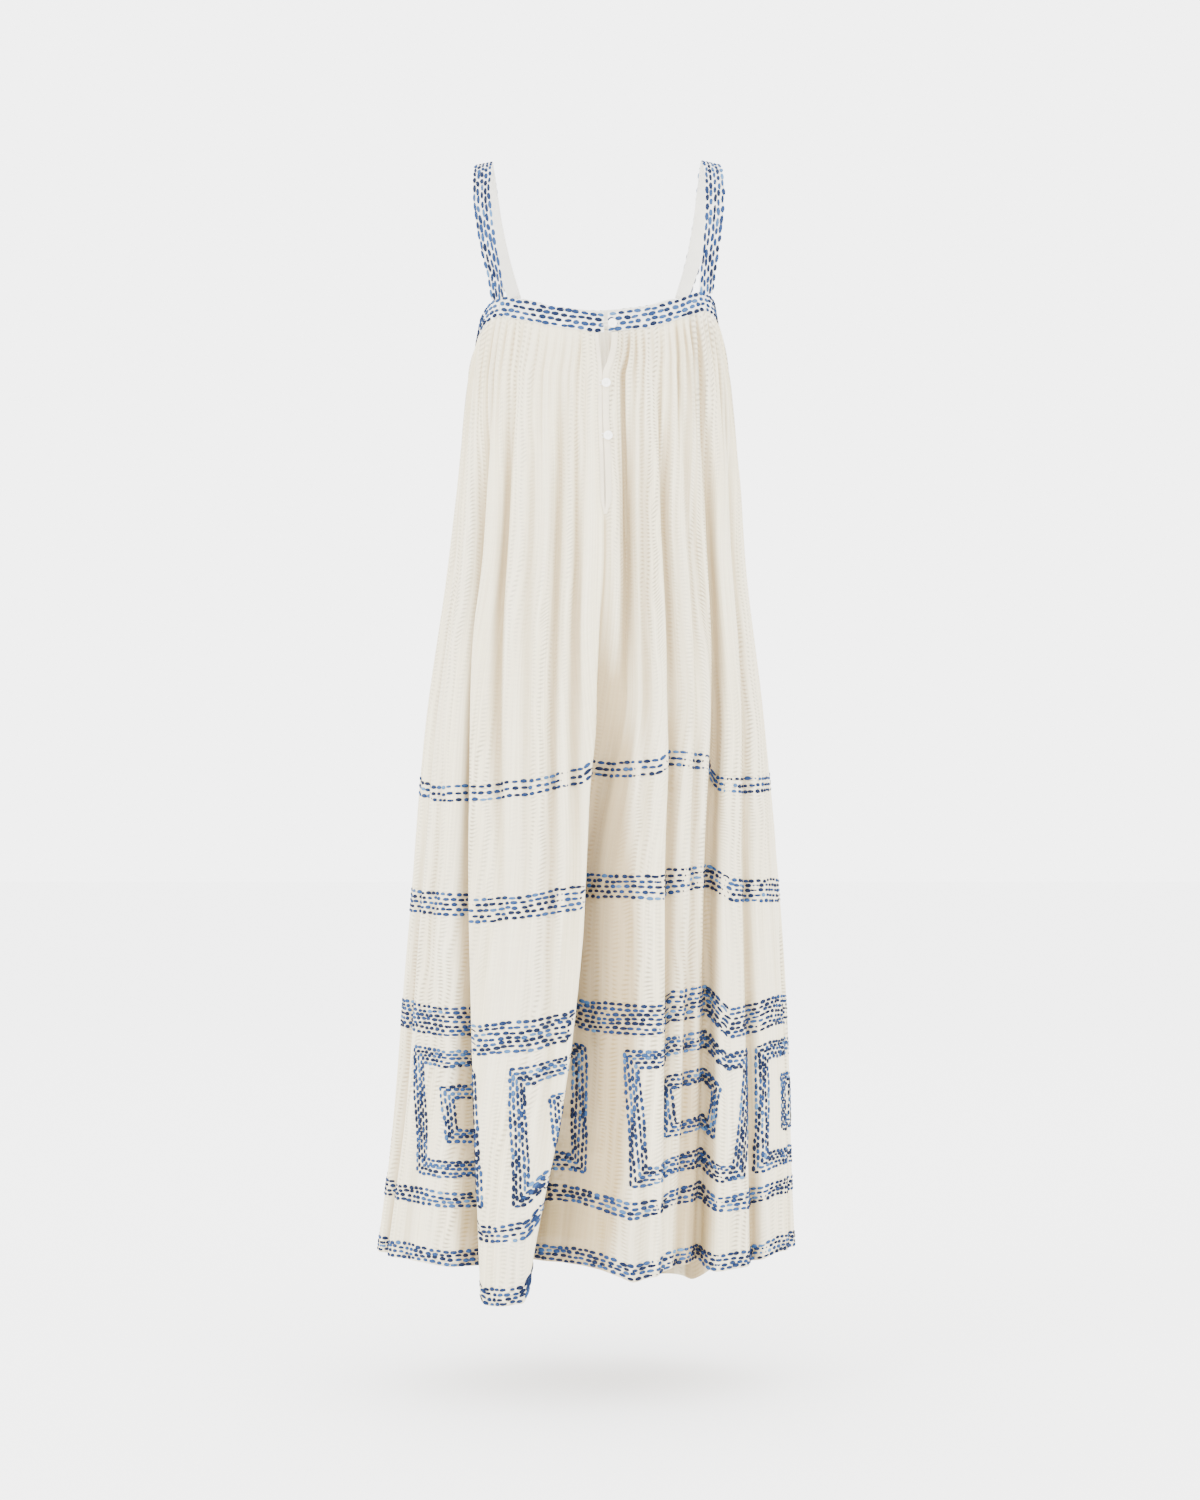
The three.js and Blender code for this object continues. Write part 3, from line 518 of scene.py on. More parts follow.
class SkirtCloth:
    """The hanging cloth of the skirt as one grid of points, and lookups on it."""

    def __init__(self, sizes: ClothSizes) -> None:
        """Works out the whole grid.

        Args:
            sizes: cloth sizes.
        """
        self.sizes = sizes
        top = np.arange(sizes.top, sizes.gather_foot, -sizes.gather_step)
        self.rows = np.concatenate([top, np.linspace(sizes.gather_foot, sizes.hem, sizes.rows)])
        self.u = np.linspace(-0.5, 0.5, sizes.columns + 1)
        rng = np.random.default_rng(SEED)
        self.reach = self._smooth_noise(rng, *RELIEF.reach)
        self.size = self._smooth_noise(rng, *RELIEF.size) * self._waves(*RELIEF.size_waves)
        self.phase = (self._smooth_noise(rng, 0.0, 1.0) - 0.5) * RELIEF.swing
        self.calm = self._waves(*RELIEF.calm_waves)
        # depth holds each point's fold value, which sets the painted shade
        self.points, self.depth = (np.array(part) for part in zip(*(self._row(float(z)) for z in self.rows)))
        self.normals = self._normals(self.points)
        self.total = self.ring_length((SquareSizes().top + SquareSizes().bottom) / 2)
        LOG.info("cloth at the squares is %.0f mm round, at the hem %.0f", self.total,
                 self.ring_length(sizes.hem))

    def _waves(self, middle: float, high: float, *waves: tuple[float, float]) -> np.ndarray:
        """Value for each column from waves round the skirt."""
        return middle + high * sum(np.sin(2 * math.pi * turns * self.u + start) for turns, start in waves)

    def _smooth_noise(self, rng: np.random.Generator, low: float, high: float) -> np.ndarray:
        """Uneven value for each column, nearly constant over one gather.

        Args:
            rng: seeded generator.
            low: lowest value.
            high: highest value.
        Returns:
            One value for each column.
        """
        count = self.sizes.gathers
        knots = rng.uniform(low, high, count)
        return np.interp(self.u % 1.0, (np.arange(count + 1)) / count, np.append(knots, knots[0]))

    def ring(self, z: float) -> tuple[np.ndarray, ...]:
        """Folded ring of cloth at a nominal height.

        Args:
            z: nominal height in millimetres.
        Returns:
            Bearing, x, y, inward depth, running length and the running length at the back seam.
        """
        sizes = self.sizes
        angle = np.linspace(-math.pi, math.pi, sizes.ring_steps + 1)
        deg = np.degrees(angle)
        x, y = outline(z + self._follow(z) * (band_foot(deg) - sizes.foot_mid), angle)
        run = np.concatenate([[0], np.cumsum(np.hypot(np.diff(x), np.diff(y)))])
        around = run[-1]
        tx = np.gradient(x)
        ty = np.gradient(y)
        tx[0] = tx[-1] = (x[1] - x[-2]) / 2
        ty[0] = ty[-1] = (y[1] - y[-2]) / 2
        long = np.hypot(tx, ty)
        tx, ty = tx / long, ty / long
        inward = np.zeros_like(x)
        shift = np.zeros_like(x)
        for fold in FOLDS:
            bearing = self._level((fold.deg[0],) + fold.deg, z)
            deep = self._level((0.0,) + fold.deep, z)
            waist, hem = fold.wide
            wide = self._level((waist, waist, (waist + hem) / 2, hem), z)
            place = np.interp((bearing + 180) % 360 - 180, deg, run)
            away = run - place
            away = away - around * np.round(away / around)
            share = np.exp(-np.abs(away / wide) ** fold.flat)
            inward += deep * share
            shift -= fold.lean * deep * share
        x = x - ty * inward + tx * shift
        y = y + tx * inward + ty * shift
        run = np.concatenate([[0], np.cumsum(np.hypot(np.diff(x), np.diff(y)))])
        seam = float(np.interp(by_height(SEAM, 1, z), deg, run))
        return deg, x, y, inward, run, seam

    def _follow(self, z: float) -> float:
        """Share of the band's line that the cloth keeps at a nominal height."""
        return by_height(TOP_ROWS, 1, z)

    def _level(self, values: tuple, z: float) -> float:
        """Value between top, waist, knee and hem."""
        levels = -np.array(self.sizes.levels)
        return float(pchip(levels, np.array(values, float), np.array(-z)))

    def _lift(self, deg: np.ndarray, z: float) -> np.ndarray:
        """Lift of the cloth's own level lines.

        Args:
            deg: bearings.
            z: nominal height.
        Returns:
            Lift in millimetres.
        """
        rows = np.array(LIFTS, float)
        share = float(pchip(np.array([890.0, 1300.0]), np.array([0.0, 1.0]), np.array(-z)))
        place = rows[:, 0] * (1 - share) + rows[:, 1] * share
        levels = -np.array(self.sizes.lift_levels)
        value = np.array([float(pchip(levels, row[2:], np.array(-z))) for row in rows])
        order = np.argsort(place)
        place = place[order]
        value = value[order]
        place = np.concatenate([place[-1:] - 360, place, place[:1] + 360])
        value = np.concatenate([value[-1:], value, value[:1]])
        i = np.clip(np.searchsorted(place, deg) - 1, 0, len(place) - 2)
        t = step01((deg - place[i]) / (place[i + 1] - place[i]))
        return value[i] * (1 - t) + value[i + 1] * t

    def _row(self, z: float, extra: np.ndarray | float = 0.0) -> tuple[np.ndarray, np.ndarray]:
        """Points of one row of cloth.

        Args:
            z: nominal height in millimetres.
            extra: shift of each column along the cloth.
        Returns:
            Points in millimetres, and how deep each lies in a fold, the value that sets the painted shade
            there.
        """
        deg, x, y, inward, run, seam = self.ring(z)
        half = np.where(self.u >= 0, run[-1] - seam, seam)
        place = seam + 2 * self.u * half + extra
        px, py, pdeg, deep = (np.interp(place, run, a) for a in (x, y, deg, inward))
        ahead = np.clip(place + 1, 0, run[-1])
        behind = np.clip(place - 1, 0, run[-1])
        tx = np.interp(ahead, run, x) - np.interp(behind, run, x)
        ty = np.interp(ahead, run, y) - np.interp(behind, run, y)
        long = np.hypot(tx, ty)
        nx = ty / long
        ny = -tx / long
        rows = np.array(TOP_ROWS, float)
        follow = self._follow(z)
        start = self.sizes.foot_mid
        reached = start - (start - z) / self.reach
        wave = pchip(-rows[:, 0], rows[:, 2], -np.where(z < start, reached, z))
        turn = 2 * math.pi * self.sizes.gathers * self.u + self.phase * step01((start - z) / 60)
        crest = sum(share * np.cos(turns * turn + start) for share, turns, start in CRESTS)
        slit = step01((np.abs(place - seam) - RELIEF.slit_flat) / RELIEF.slit_rise)
        side = step01((0.5 - np.abs(self.u)) * RELIEF.front_rise)
        gather = wave * self.size * crest * slit
        body = step01((RELIEF.ripple_top - z) / RELIEF.ripple_run)
        drift = z / RELIEF.ripple_drift
        ripple = sum(high * np.sin(2 * math.pi * turns * self.u + slant * drift + first)
                     for high, turns, slant, first in RIPPLES) * body * side * self.calm
        below = step01((self.sizes.slit_end - z) / RELIEF.seam_run)
        # The seam gets a dip in the cloth and a painted shade line along it
        dip, line = (high * np.exp(-((place - seam) / wide) ** 2) * below for high, wide in RELIEF.seam)
        out = gather + ripple + dip
        height = z + self._lift(pdeg, z) * (1 - follow) + follow * (band_foot(pdeg) - start)
        points = np.stack([px + nx * out, py + ny * out, height], axis=1)
        points[-1] = points[0] = (points[0] + points[-1]) / 2
        # Painted shade value: deeper folds and gather troughs darker, raised cloth lighter, plus the seam's
        # painted shade line
        relief, gather_shade, band_gather_shade = RELIEF.painted_shade_weights
        return points, deep - relief * out - (gather_shade + band_gather_shade * follow) * gather + line

    def _normals(self, grid: np.ndarray) -> np.ndarray:
        """Outward normals of a grid whose rows go down and whose columns go round.

        Args:
            grid: rows by columns by 3.
        Returns:
            Unit normals of the same shape.
        """
        side = np.gradient(grid, axis=1)
        side[:, 0] = side[:, -1] = (side[:, 0] + side[:, -1]) / 2
        down = np.gradient(grid, axis=0)
        return unit(np.cross(down, side))

    def halves(self, z: float) -> tuple[float, float]:
        """Cloth from the back seam to the middle of the front, on each side."""
        ring = self.ring(z)
        return float(ring[5]), float(ring[4][-1] - ring[5])

    def ring_length(self, z: float) -> float:
        """Length of cloth round the dress."""
        return float(self.ring(z)[4][-1])

    def slit_grid(self, right: bool) -> np.ndarray:
        """Points of one back half with its slit edge drawn back from the seam.

        Args:
            right: True for the +X half.
        Returns:
            Grid of points in millimetres, columns rising to +X.
        """
        fall = np.clip(1 - np.abs(self.u) / 0.05, 0, 1) * (1.0 if right else -1.0)
        out = []
        for z, line in zip(self.rows, self.points):
            inset = by_height(SEAM, 3 if right else 2, float(z))
            out.append(line if inset < 0.05 else self._row(float(z), inset * fall)[0])
        return np.array(out)

    def at(self, u: np.ndarray, z: np.ndarray) -> tuple[np.ndarray, np.ndarray]:
        """Points and normals of the cloth at cloth positions.

        Args:
            u: cloth positions, wrapped to -0.5 to 0.5.
            z: nominal heights.
        Returns:
            Points and outward normals.
        """
        col = ((u + 0.5) % 1.0) * self.sizes.columns
        row = np.interp(-np.asarray(z), -self.rows, np.arange(len(self.rows)))
        c0 = np.clip(np.floor(col).astype(int), 0, self.sizes.columns - 1)
        r0 = np.clip(np.floor(row).astype(int), 0, len(self.rows) - 2)
        fc = (col - c0)[:, None]
        fr = (row - r0)[:, None]

        def mix(grid: np.ndarray) -> np.ndarray:
            """Values of a grid between its four nearest points."""
            above = grid[r0, c0] * (1 - fc) + grid[r0, c0 + 1] * fc
            below = grid[r0 + 1, c0] * (1 - fc) + grid[r0 + 1, c0 + 1] * fc
            return above * (1 - fr) + below * fr

        return mix(self.points), unit(mix(self.normals))


class Shop:
    """Makes Blender objects and puts them on the frame."""

    def link(self, name: str, data: bpy.types.ID) -> bpy.types.Object:
        """A new object in the scene.

        Args:
            name: object name.
            data: its mesh, light or camera.
        Returns:
            The new object.
        """
        obj = bpy.data.objects.new(name, data)
        bpy.context.scene.collection.objects.link(obj)
        return obj

    def from_points(self, name: str, points: np.ndarray, faces: list) -> bpy.types.Object:
        """A mesh from points and faces.

        Args:
            name: object name.
            points: array whose last axis is x, y, z in millimetres.
            faces: vertex indices of each face.
        Returns:
            The new object.
        """
        mesh = bpy.data.meshes.new(name)
        mesh.from_pydata((points.reshape(-1, 3) * MM).tolist(), [], faces)
        mesh.update()
        return self.link(name, mesh)

    def from_bmesh(self, name: str, bm: bmesh.types.BMesh) -> bpy.types.Object:
        """A mesh from a bmesh in metres, which is freed.

        Args:
            name: object name.
            bm: the shape.
        Returns:
            The new object.
        """
        mesh = bpy.data.meshes.new(name)
        bm.to_mesh(mesh)
        bm.free()
        return self.link(name, mesh)

    def grid(self, name: str, points: np.ndarray, uv: tuple[np.ndarray, ...] | None = None,
             fold: np.ndarray | None = None, closed: bool = False) -> bpy.types.Object:
        """Mesh of quads from a grid, rows going down and columns to the right as seen from outside.

        Args:
            name: object name.
            points: rows by columns by 3, in millimetres.
            uv: both texture places, in millimetres, that fit the grid's shape.
            fold: how deep each point lies in a fold, in millimetres, kept as the fold attribute that sets
                the painted shade.
            closed: whether the last row joins the first.
        Returns:
            The new object.
        """
        n, m = points.shape[:2]
        index = np.arange(n * m).reshape(n, m)
        if closed:
            index = np.vstack([index, index[:1]])
        quads = np.stack([index[:-1, :-1], index[1:, :-1], index[1:, 1:], index[:-1, 1:]], axis=-1)
        obj = self.from_points(name, points, quads.reshape(-1, 4).tolist())
        if uv is not None:
            layer = obj.data.uv_layers.new(name="cloth")
            loops = np.empty(len(obj.data.loops), dtype=np.int64)
            obj.data.loops.foreach_get("vertex_index", loops)
            places = np.stack([np.broadcast_to(part, (n, m)) for part in uv], axis=-1) * MM
            layer.data.foreach_set("uv", places.reshape(-1, 2)[loops].ravel())
        if fold is not None:
            # Painted shade: the fold attribute darkens the gauze in its folds
            attribute = obj.data.attributes.new("fold", "FLOAT", "POINT")
            attribute.data.foreach_set("value", np.clip(fold.ravel() / FULL_SHADE, 0, 1))
        return obj

    def tube(self, name: str, points: np.ndarray,
             uv: tuple[np.ndarray, ...] | None = None) -> bpy.types.Object:
        """Closed tube from lines that run along it.

        Args:
            name: object name.
            points: lines by steps by 3, in millimetres.
            uv: as for grid.
        Returns:
            The new object, its ends filled.
        """
        obj = self.grid(name, points, uv, closed=True)
        bm = bmesh.new()
        bm.from_mesh(obj.data)
        bmesh.ops.holes_fill(bm, edges=[e for e in bm.edges if e.is_boundary], sides=0)
        bmesh.ops.recalc_face_normals(bm, faces=bm.faces)
        bm.to_mesh(obj.data)
        bm.free()
        return obj

    def place(self, obj: bpy.types.Object, slot: Slot, material: bpy.types.Material, *nodes: str) -> None:
        """Puts a finished object on the frame.

        Args:
            obj: the object.
            slot: the record's slot; not used.
            material: its material.
            nodes: CAD nodes it stands for.
        """
        obj.data.materials.clear()
        obj.data.materials.append(material)
        for polygon in obj.data.polygons:
            polygon.use_smooth = True
        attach(obj, "root")
        if nodes:
            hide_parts(*nodes)


class Stitcher:
    """Makes running stitches, each a small lens of yarn."""

    def __init__(self, shop: Shop, looks: "Looks", sizes: StitchSizes) -> None:
        """Makes the shape of one stitch.

        Args:
            shop: mesh maker.
            looks: materials.
            sizes: sizes of a stitch.
        """
        self.shop = shop
        self.looks = looks
        self.sizes = sizes
        self.rng = np.random.default_rng(SEED + 1)
        bm = bmesh.new()
        bmesh.ops.create_uvsphere(bm, u_segments=5, v_segments=4, radius=0.5)
        bmesh.ops.rotate(bm, verts=bm.verts, cent=(0, 0, 0),
                         matrix=Vector((0, 0, 1)).rotation_difference(Vector((1, 0, 0))).to_matrix())
        bm.verts.ensure_lookup_table()
        self.lens = np.array([v.co[:] for v in bm.verts])
        self.faces = [[v.index for v in f.verts] for f in bm.faces]
        bm.free()

    def colours(self, run: np.ndarray, dark: float) -> np.ndarray:
        """Space-dyed yarn colours along a row.

        Args:
            run: place of each stitch along the yarn.
            dark: share moved towards navy.
        Returns:
            One colour for each stitch.
        """
        drift = 0.5
        for share, length in DYE_WAVES:
            drift = drift + share * np.sin(run / length + self.rng.uniform(0, 6.3))
        tone = np.clip(drift + self.rng.normal(0, 0.22, len(run)) - dark - 0.18, 0, 1)
        return np.stack([np.interp(tone, YARN_TONES, part) for part in zip(*YARNS)], axis=1)

    def build(self, name: str, parts: list[tuple], scale: float = 1.0) -> None:
        """One mesh of stitches, put on the frame.

        Args:
            name: object name.
            parts: for each row, its stitches' first ends, last ends, outward directions and colours.
            scale: width and height against the usual ones.
        """
        start, end, normal, colour = (np.concatenate(column) for column in zip(*parts))
        count = len(start)
        n = unit(normal)
        along = end - start
        side = unit(np.cross(n, along))
        fat = self.rng.uniform(0.78, 1.22, (count, 1, 1)) * scale
        lens = self.lens[None, :, :]
        middle = ((start + end) / 2 + n * (self.sizes.high * self.sizes.lift * scale))[:, None, :]
        points = (middle + lens[:, :, 0:1] * along[:, None, :]
                  + lens[:, :, 1:2] * side[:, None, :] * self.sizes.wide * fat
                  + lens[:, :, 2:3] * n[:, None, :] * self.sizes.high * scale)
        each = len(self.lens)
        faces = [[k * each + v for v in face] for k in range(count) for face in self.faces]
        obj = self.shop.from_points(name, points, faces)
        attribute = obj.data.color_attributes.new("yarn", "FLOAT_COLOR", "POINT")
        full = np.concatenate([colour, np.ones((count, 1))], axis=1)
        attribute.data.foreach_set("color", np.repeat(full, each, axis=0).ravel())
        self.shop.place(obj, Slot.BAND, self.looks.yarn)
        LOG.info("%s has %d stitches", name, count)

    def row(self, length: float, pitch: float, phase: float = 0.5) -> tuple[np.ndarray, np.ndarray]:
        """Starts and ends of the stitches along a row.

        Args:
            length: length of the row in millimetres.
            pitch: distance from stitch to stitch.
            phase: where the first stitch lies in its pitch, so that rows can be staggered.
        Returns:
            Places of both ends along the row.
        """
        count = max(1, int(round(length / pitch)))
        centre = (np.arange(count) + phase + self.rng.uniform(-0.12, 0.12, count)) * (length / count)
        half = self.sizes.long * self.rng.uniform(0.38, 0.55, count) * pitch / self.sizes.pitch
        return np.clip(centre - half, 0, length), np.clip(centre + half, 0, length)


@dataclass
class Maker:
    """What each maker of the dress's pieces works with."""

    shop: Shop
    cloth: SkirtCloth
    stitcher: Stitcher
    looks: "Looks"
    sizes: BandSizes


@dataclass
class Skirt(Maker):
    """Skirt panels, their stitching and the bindings of the back slit."""

    def __post_init__(self) -> None:
        """Works out the cloth of both back halves, and starts without pieces."""
        self.halves = [self.cloth.slit_grid(right) for right in (False, True)]
        self.sheets: list[tuple] = []
        self.carried: list[list[bpy.types.Object]] = []

    def _with_hem(self, grid: np.ndarray, normals: np.ndarray) -> tuple[np.ndarray, np.ndarray]:
        """Adds the turned-up hem inside the lower edge.

        Args:
            grid: panel points.
            normals: their outward normals.
        Returns:
            The longer grid, and the down-the-cloth distance of every row.
        """
        sizes = self.cloth.sizes
        rows = self.cloth.rows
        step = rows[-2] - rows[-1]
        up = int(round(sizes.hem_turn / step))
        extra = [grid[-1] - normals[-1] * sizes.hem_thick * 0.5 - np.array([0, 0, sizes.hem_thick * 0.4])]
        for k in range(1, up + 1):
            extra.append(grid[-k] - normals[-k] * sizes.hem_thick * (1.0 if k < up else 0.6))
        down = np.concatenate([-rows, -rows[-1] + step * np.arange(1, len(extra) + 1)])
        return np.concatenate([grid, np.array(extra)]), down

    def _panel(self, name: str, columns: np.ndarray, grid: np.ndarray, node: str) -> tuple:
        """One panel of the skirt.

        Args:
            name: object name.
            columns: which grid columns it has.
            grid: points of the whole skirt for this panel's edges.
            node: the CAD node it stands for.
        Returns:
            The new object, and the width and length of its flat cloth in metres.
        """
        points, down = self._with_hem(grid[:, columns], self.cloth.normals[:, columns])
        # Fold values for the painted shade, mirrored onto the turned-up hem
        fold = self.cloth.depth[:, columns]
        fold = np.concatenate([fold, fold[::-1][:len(points) - len(fold)]])
        u = np.unwrap(self.cloth.u[columns] * 2 * math.pi) / (2 * math.pi)
        obj = self.shop.grid(name, points, (u * self.cloth.total, -down[:, None]), fold)
        self.shop.place(obj, Slot.GAUZE, self.looks.gauze, node)
        width = abs(float(u[-1] - u[0])) * self.cloth.ring_length(self.cloth.sizes.hem) * MM
        rise = float(points[0, :, 2].max()) - float(self.cloth.rows[0])
        return obj, width, (float(down[-1]) - float(down[0]) + rise) * MM

    def panels(self) -> None:
        """Makes the three panels."""
        columns = self.cloth.sizes.columns
        quarter = columns // 4
        left = np.arange(quarter, 2 * quarter + 1)
        wrap = np.concatenate([np.arange(3 * quarter, columns), np.arange(0, quarter + 1)])
        self.sheets = [
            self._panel("gauze_back_left", left, self.halves[0], "back_panel_left"),
            self._panel("gauze_back_right", left + quarter, self.halves[1], "back_panel_right"),
            self._panel("gauze_front", wrap, self.cloth.points, "front_panel"),
        ]

    def declare(self) -> None:
        """Logs the flat cut of each panel, and the share of that area the worn panel covers."""
        bands = ("tape_back_band_left", "tape_back_band_right", "tape_front_band")
        for (obj, width, length), band, pieces in zip(self.sheets, bands, (*self.carried, [])):
            worn = sum(polygon.area for polygon in obj.data.polygons) / (width * length)
            LOG.info("%s is cut %.3f x %.3f m, %.2f of that area as worn", obj.name, width, length, worn)

    def _line(self, u0: float, z0: float, u1: float, z1: float, pitch: float, dark: float) -> tuple:
        """Stitches along one straight line on the cloth.

        Args:
            u0: cloth position of the first end.
            z0: nominal height of the first end.
            u1: cloth position of the last end.
            z1: nominal height of the last end.
            pitch: distance from stitch to stitch.
            dark: share moved towards navy.
        Returns:
            First ends, last ends, outward directions and colours.
        """
        rng = self.stitcher.rng
        scale = self.cloth.ring_length(0.5 * (z0 + z1)) if z0 == z1 else self.cloth.total
        length = math.hypot((u1 - u0) * scale, z1 - z0)
        a, b = self.stitcher.row(length, pitch)
        run = a + rng.uniform(0, 500)
        sway = 0.7 * np.sin(a / 17.0 + u0 * 50 + z0) + rng.normal(0, 0.35, len(a))
        across = np.array([-(z1 - z0), (u1 - u0) * scale]) / max(length, 1e-6)
        (p, n), (q, _) = (self.cloth.at(u0 + (u1 - u0) * t / length + across[0] * sway / scale,
                                        z0 + (z1 - z0) * t / length + across[1] * sway) for t in (a, b))
        return p, q, n, self.stitcher.colours(run, dark)

    def stitches(self) -> None:
        """Makes the stitched bands round the skirt and the stitched squares."""
        pitch = self.stitcher.sizes.pitch
        for band in STITCH_BANDS:
            parts = []
            for k in range(band.rows):
                z = band.z - k * band.pitch
                start = (k % 2) * 0.5 * pitch / self.cloth.total - 0.5
                parts.append(self._line(start, z, start + 1, z, pitch, band.dark[k % 2]))
            self.stitcher.build(f"stitches_{band.name}", parts)
        parts = [self._line(*line) for line in self._square_lines(SquareSizes())]
        self.stitcher.build("stitches_squares", parts)

    def _square_lines(self, sizes: SquareSizes) -> list[tuple]:
        """Lines of every row of every square and of the square inside it.

        Args:
            sizes: sizes of the squares.
        Returns:
            Values for _line.
        """
        lines = []
        tall = sizes.top - sizes.bottom
        halves = [self.cloth.halves(z) for z in (sizes.top, sizes.bottom)]
        kinds = ((sizes.rows, 0.0, 0.0), (sizes.inner_rows, sizes.inner_inset, sizes.inner_drop))
        for square in SQUARES:
            left, right = ([self._u_of(place, *half) for place, half in zip(edge, halves)]
                           for edge in (square.left, square.right))
            for rows, inset, drop in kinds:
                for k in range(rows):
                    across = (inset + k * sizes.pitch) / self.cloth.total
                    down = (drop + k * sizes.pitch) / tall
                    high, low = (sizes.top - down * tall, sizes.bottom + down * tall)
                    a, b, c, d = ((edge[0] + (edge[1] - edge[0]) * share + sign * across)
                                  for share in (down, 1 - down) for edge, sign in ((left, 1), (right, -1)))
                    sides = ((a, high, b, high), (c, low, d, low), (a, high, c, low), (b, high, d, low))
                    lines += [(*side, sizes.stitch, sizes.dark[k % 2]) for side in sides]
        return lines

    def _u_of(self, place: float, left: float, right: float) -> float:
        """Cloth position of a place along the cloth.

        Args:
            place: millimetres from the back seam towards +X.
            left: cloth in the -X half.
            right: cloth in the +X half.
        Returns:
            The cloth position, above 0.5 once it passes the middle of the front.
        """
        if place <= 0:
            return place / (2 * left)
        if place <= right:
            return place / (2 * right)
        return 0.5 + (place - right) / (2 * left)

    def bindings(self) -> None:
        """Makes the flat bindings along the slit."""
        rows = self.cloth.rows
        end = self.cloth.sizes.slit_end - self.sizes.binding_tail
        kept = np.where((rows >= end) & (rows <= self.sizes.binding_top))[0]
        taper = (0.35 + 0.65 * step01((rows[kept] - end) / 22))[:, None]
        middle = self.cloth.sizes.columns // 2
        for hand, grid, wide, step in zip(("left", "right"), self.halves, self.sizes.bindings, (-2, 2)):
            edge = grid[kept, middle]
            side = unit(grid[kept, middle + step] - edge)
            normal = np.cross(unit(np.gradient(edge, axis=0)), side)
            normal = unit(normal * np.sign(-normal[:, 1:2]))
            lines = []
            for share, lift in BINDING_PROFILE:
                out = 0.35 + self.sizes.binding_wall * lift
                lines.append(edge + side * (wide * share * taper if share > 0 else share) + normal * out)
            points = np.stack(lines[::1 if step > 0 else -1], axis=1)
            across = np.linspace(0, wide, len(lines))
            obj = self.shop.grid(f"binding_{hand}", points, (across, -rows[kept][:, None]))
            self.shop.place(obj, Slot.GAUZE, self.looks.binding, f"placket_{hand}")
            self.carried.append([obj])


@dataclass
class Ribbon:
    """A flat, doubled, stitched tape: its middle, directions and width at each step, wall and rows."""

    centre: np.ndarray
    side: np.ndarray
    normal: np.ndarray
    wide: np.ndarray
    wall: float
    rows: int

    def __post_init__(self) -> None:
        """Works out the running length."""
        steps = np.linalg.norm(np.diff(self.centre, axis=0), axis=1)
        self.run = np.concatenate([[0], np.cumsum(steps)])

    def mesh(self, shop: Shop, name: str) -> bpy.types.Object:
        """Closed mesh of the tape, padded between its stitch rows.

        Args:
            shop: mesh maker.
            name: object name.
        Returns:
            The new object.
        """
        shares = np.linspace(-0.5, 0.5, 4 * self.rows + 1)
        puff = 0.30 * np.abs(np.sin(math.pi * ((shares + 0.5) * self.rows + 0.5)))
        edge = np.sqrt(np.clip(1 - (np.abs(shares) * 2) ** 8, 0, 1))
        half = self.wall / 2
        outer = list(zip(shares, (half - 0.15 + puff) * edge))
        inner = list(zip(shares[::-1], -(half - 0.3) * edge[::-1]))[1:-1]
        points = np.stack([self.centre + self.side * (self.wide * share)[:, None] + self.normal * out
                           for share, out in outer + inner])
        return shop.tube(name, points, (self.run, np.linspace(0, 50, len(points))[:, None]))

    def locate(self, along: np.ndarray, share: np.ndarray) -> tuple[np.ndarray, np.ndarray]:
        """Points on the outer face.

        Args:
            along: distance along the tape in millimetres.
            share: place across it, -0.5 to 0.5.
        Returns:
            Points and normals.
        """
        centre, side, normal = (np.stack([np.interp(along, self.run, part) for part in grid.T], axis=1)
                                for grid in (self.centre, self.side, self.normal))
        normal = unit(normal)
        wide = np.interp(along, self.run, self.wide)
        return centre + side * (wide * share)[:, None] + normal * (self.wall / 2), normal

    def stitch(self, stitcher: Stitcher, pitch: float) -> list[tuple]:
        """Stitch rows along the tape.

        Args:
            stitcher: stitch maker.
            pitch: distance from stitch to stitch.
        Returns:
            Parts for Stitcher.build.
        """
        parts = []
        for k in range(self.rows):
            share = ((k + 0.5) / self.rows - 0.5) * 1.06
            phase, dark = ((0.7, -0.05), (0.3, 0.05))[k % 2]
            a, b = stitcher.row(float(self.run[-1]), pitch, phase)
            p, n = self.locate(a, share + stitcher.rng.normal(0, 0.018, len(a)))
            q, _ = self.locate(b, share + stitcher.rng.normal(0, 0.026, len(a)))
            parts.append((p, q, n, stitcher.colours(a + stitcher.rng.uniform(0, 400), dark)))
        return parts


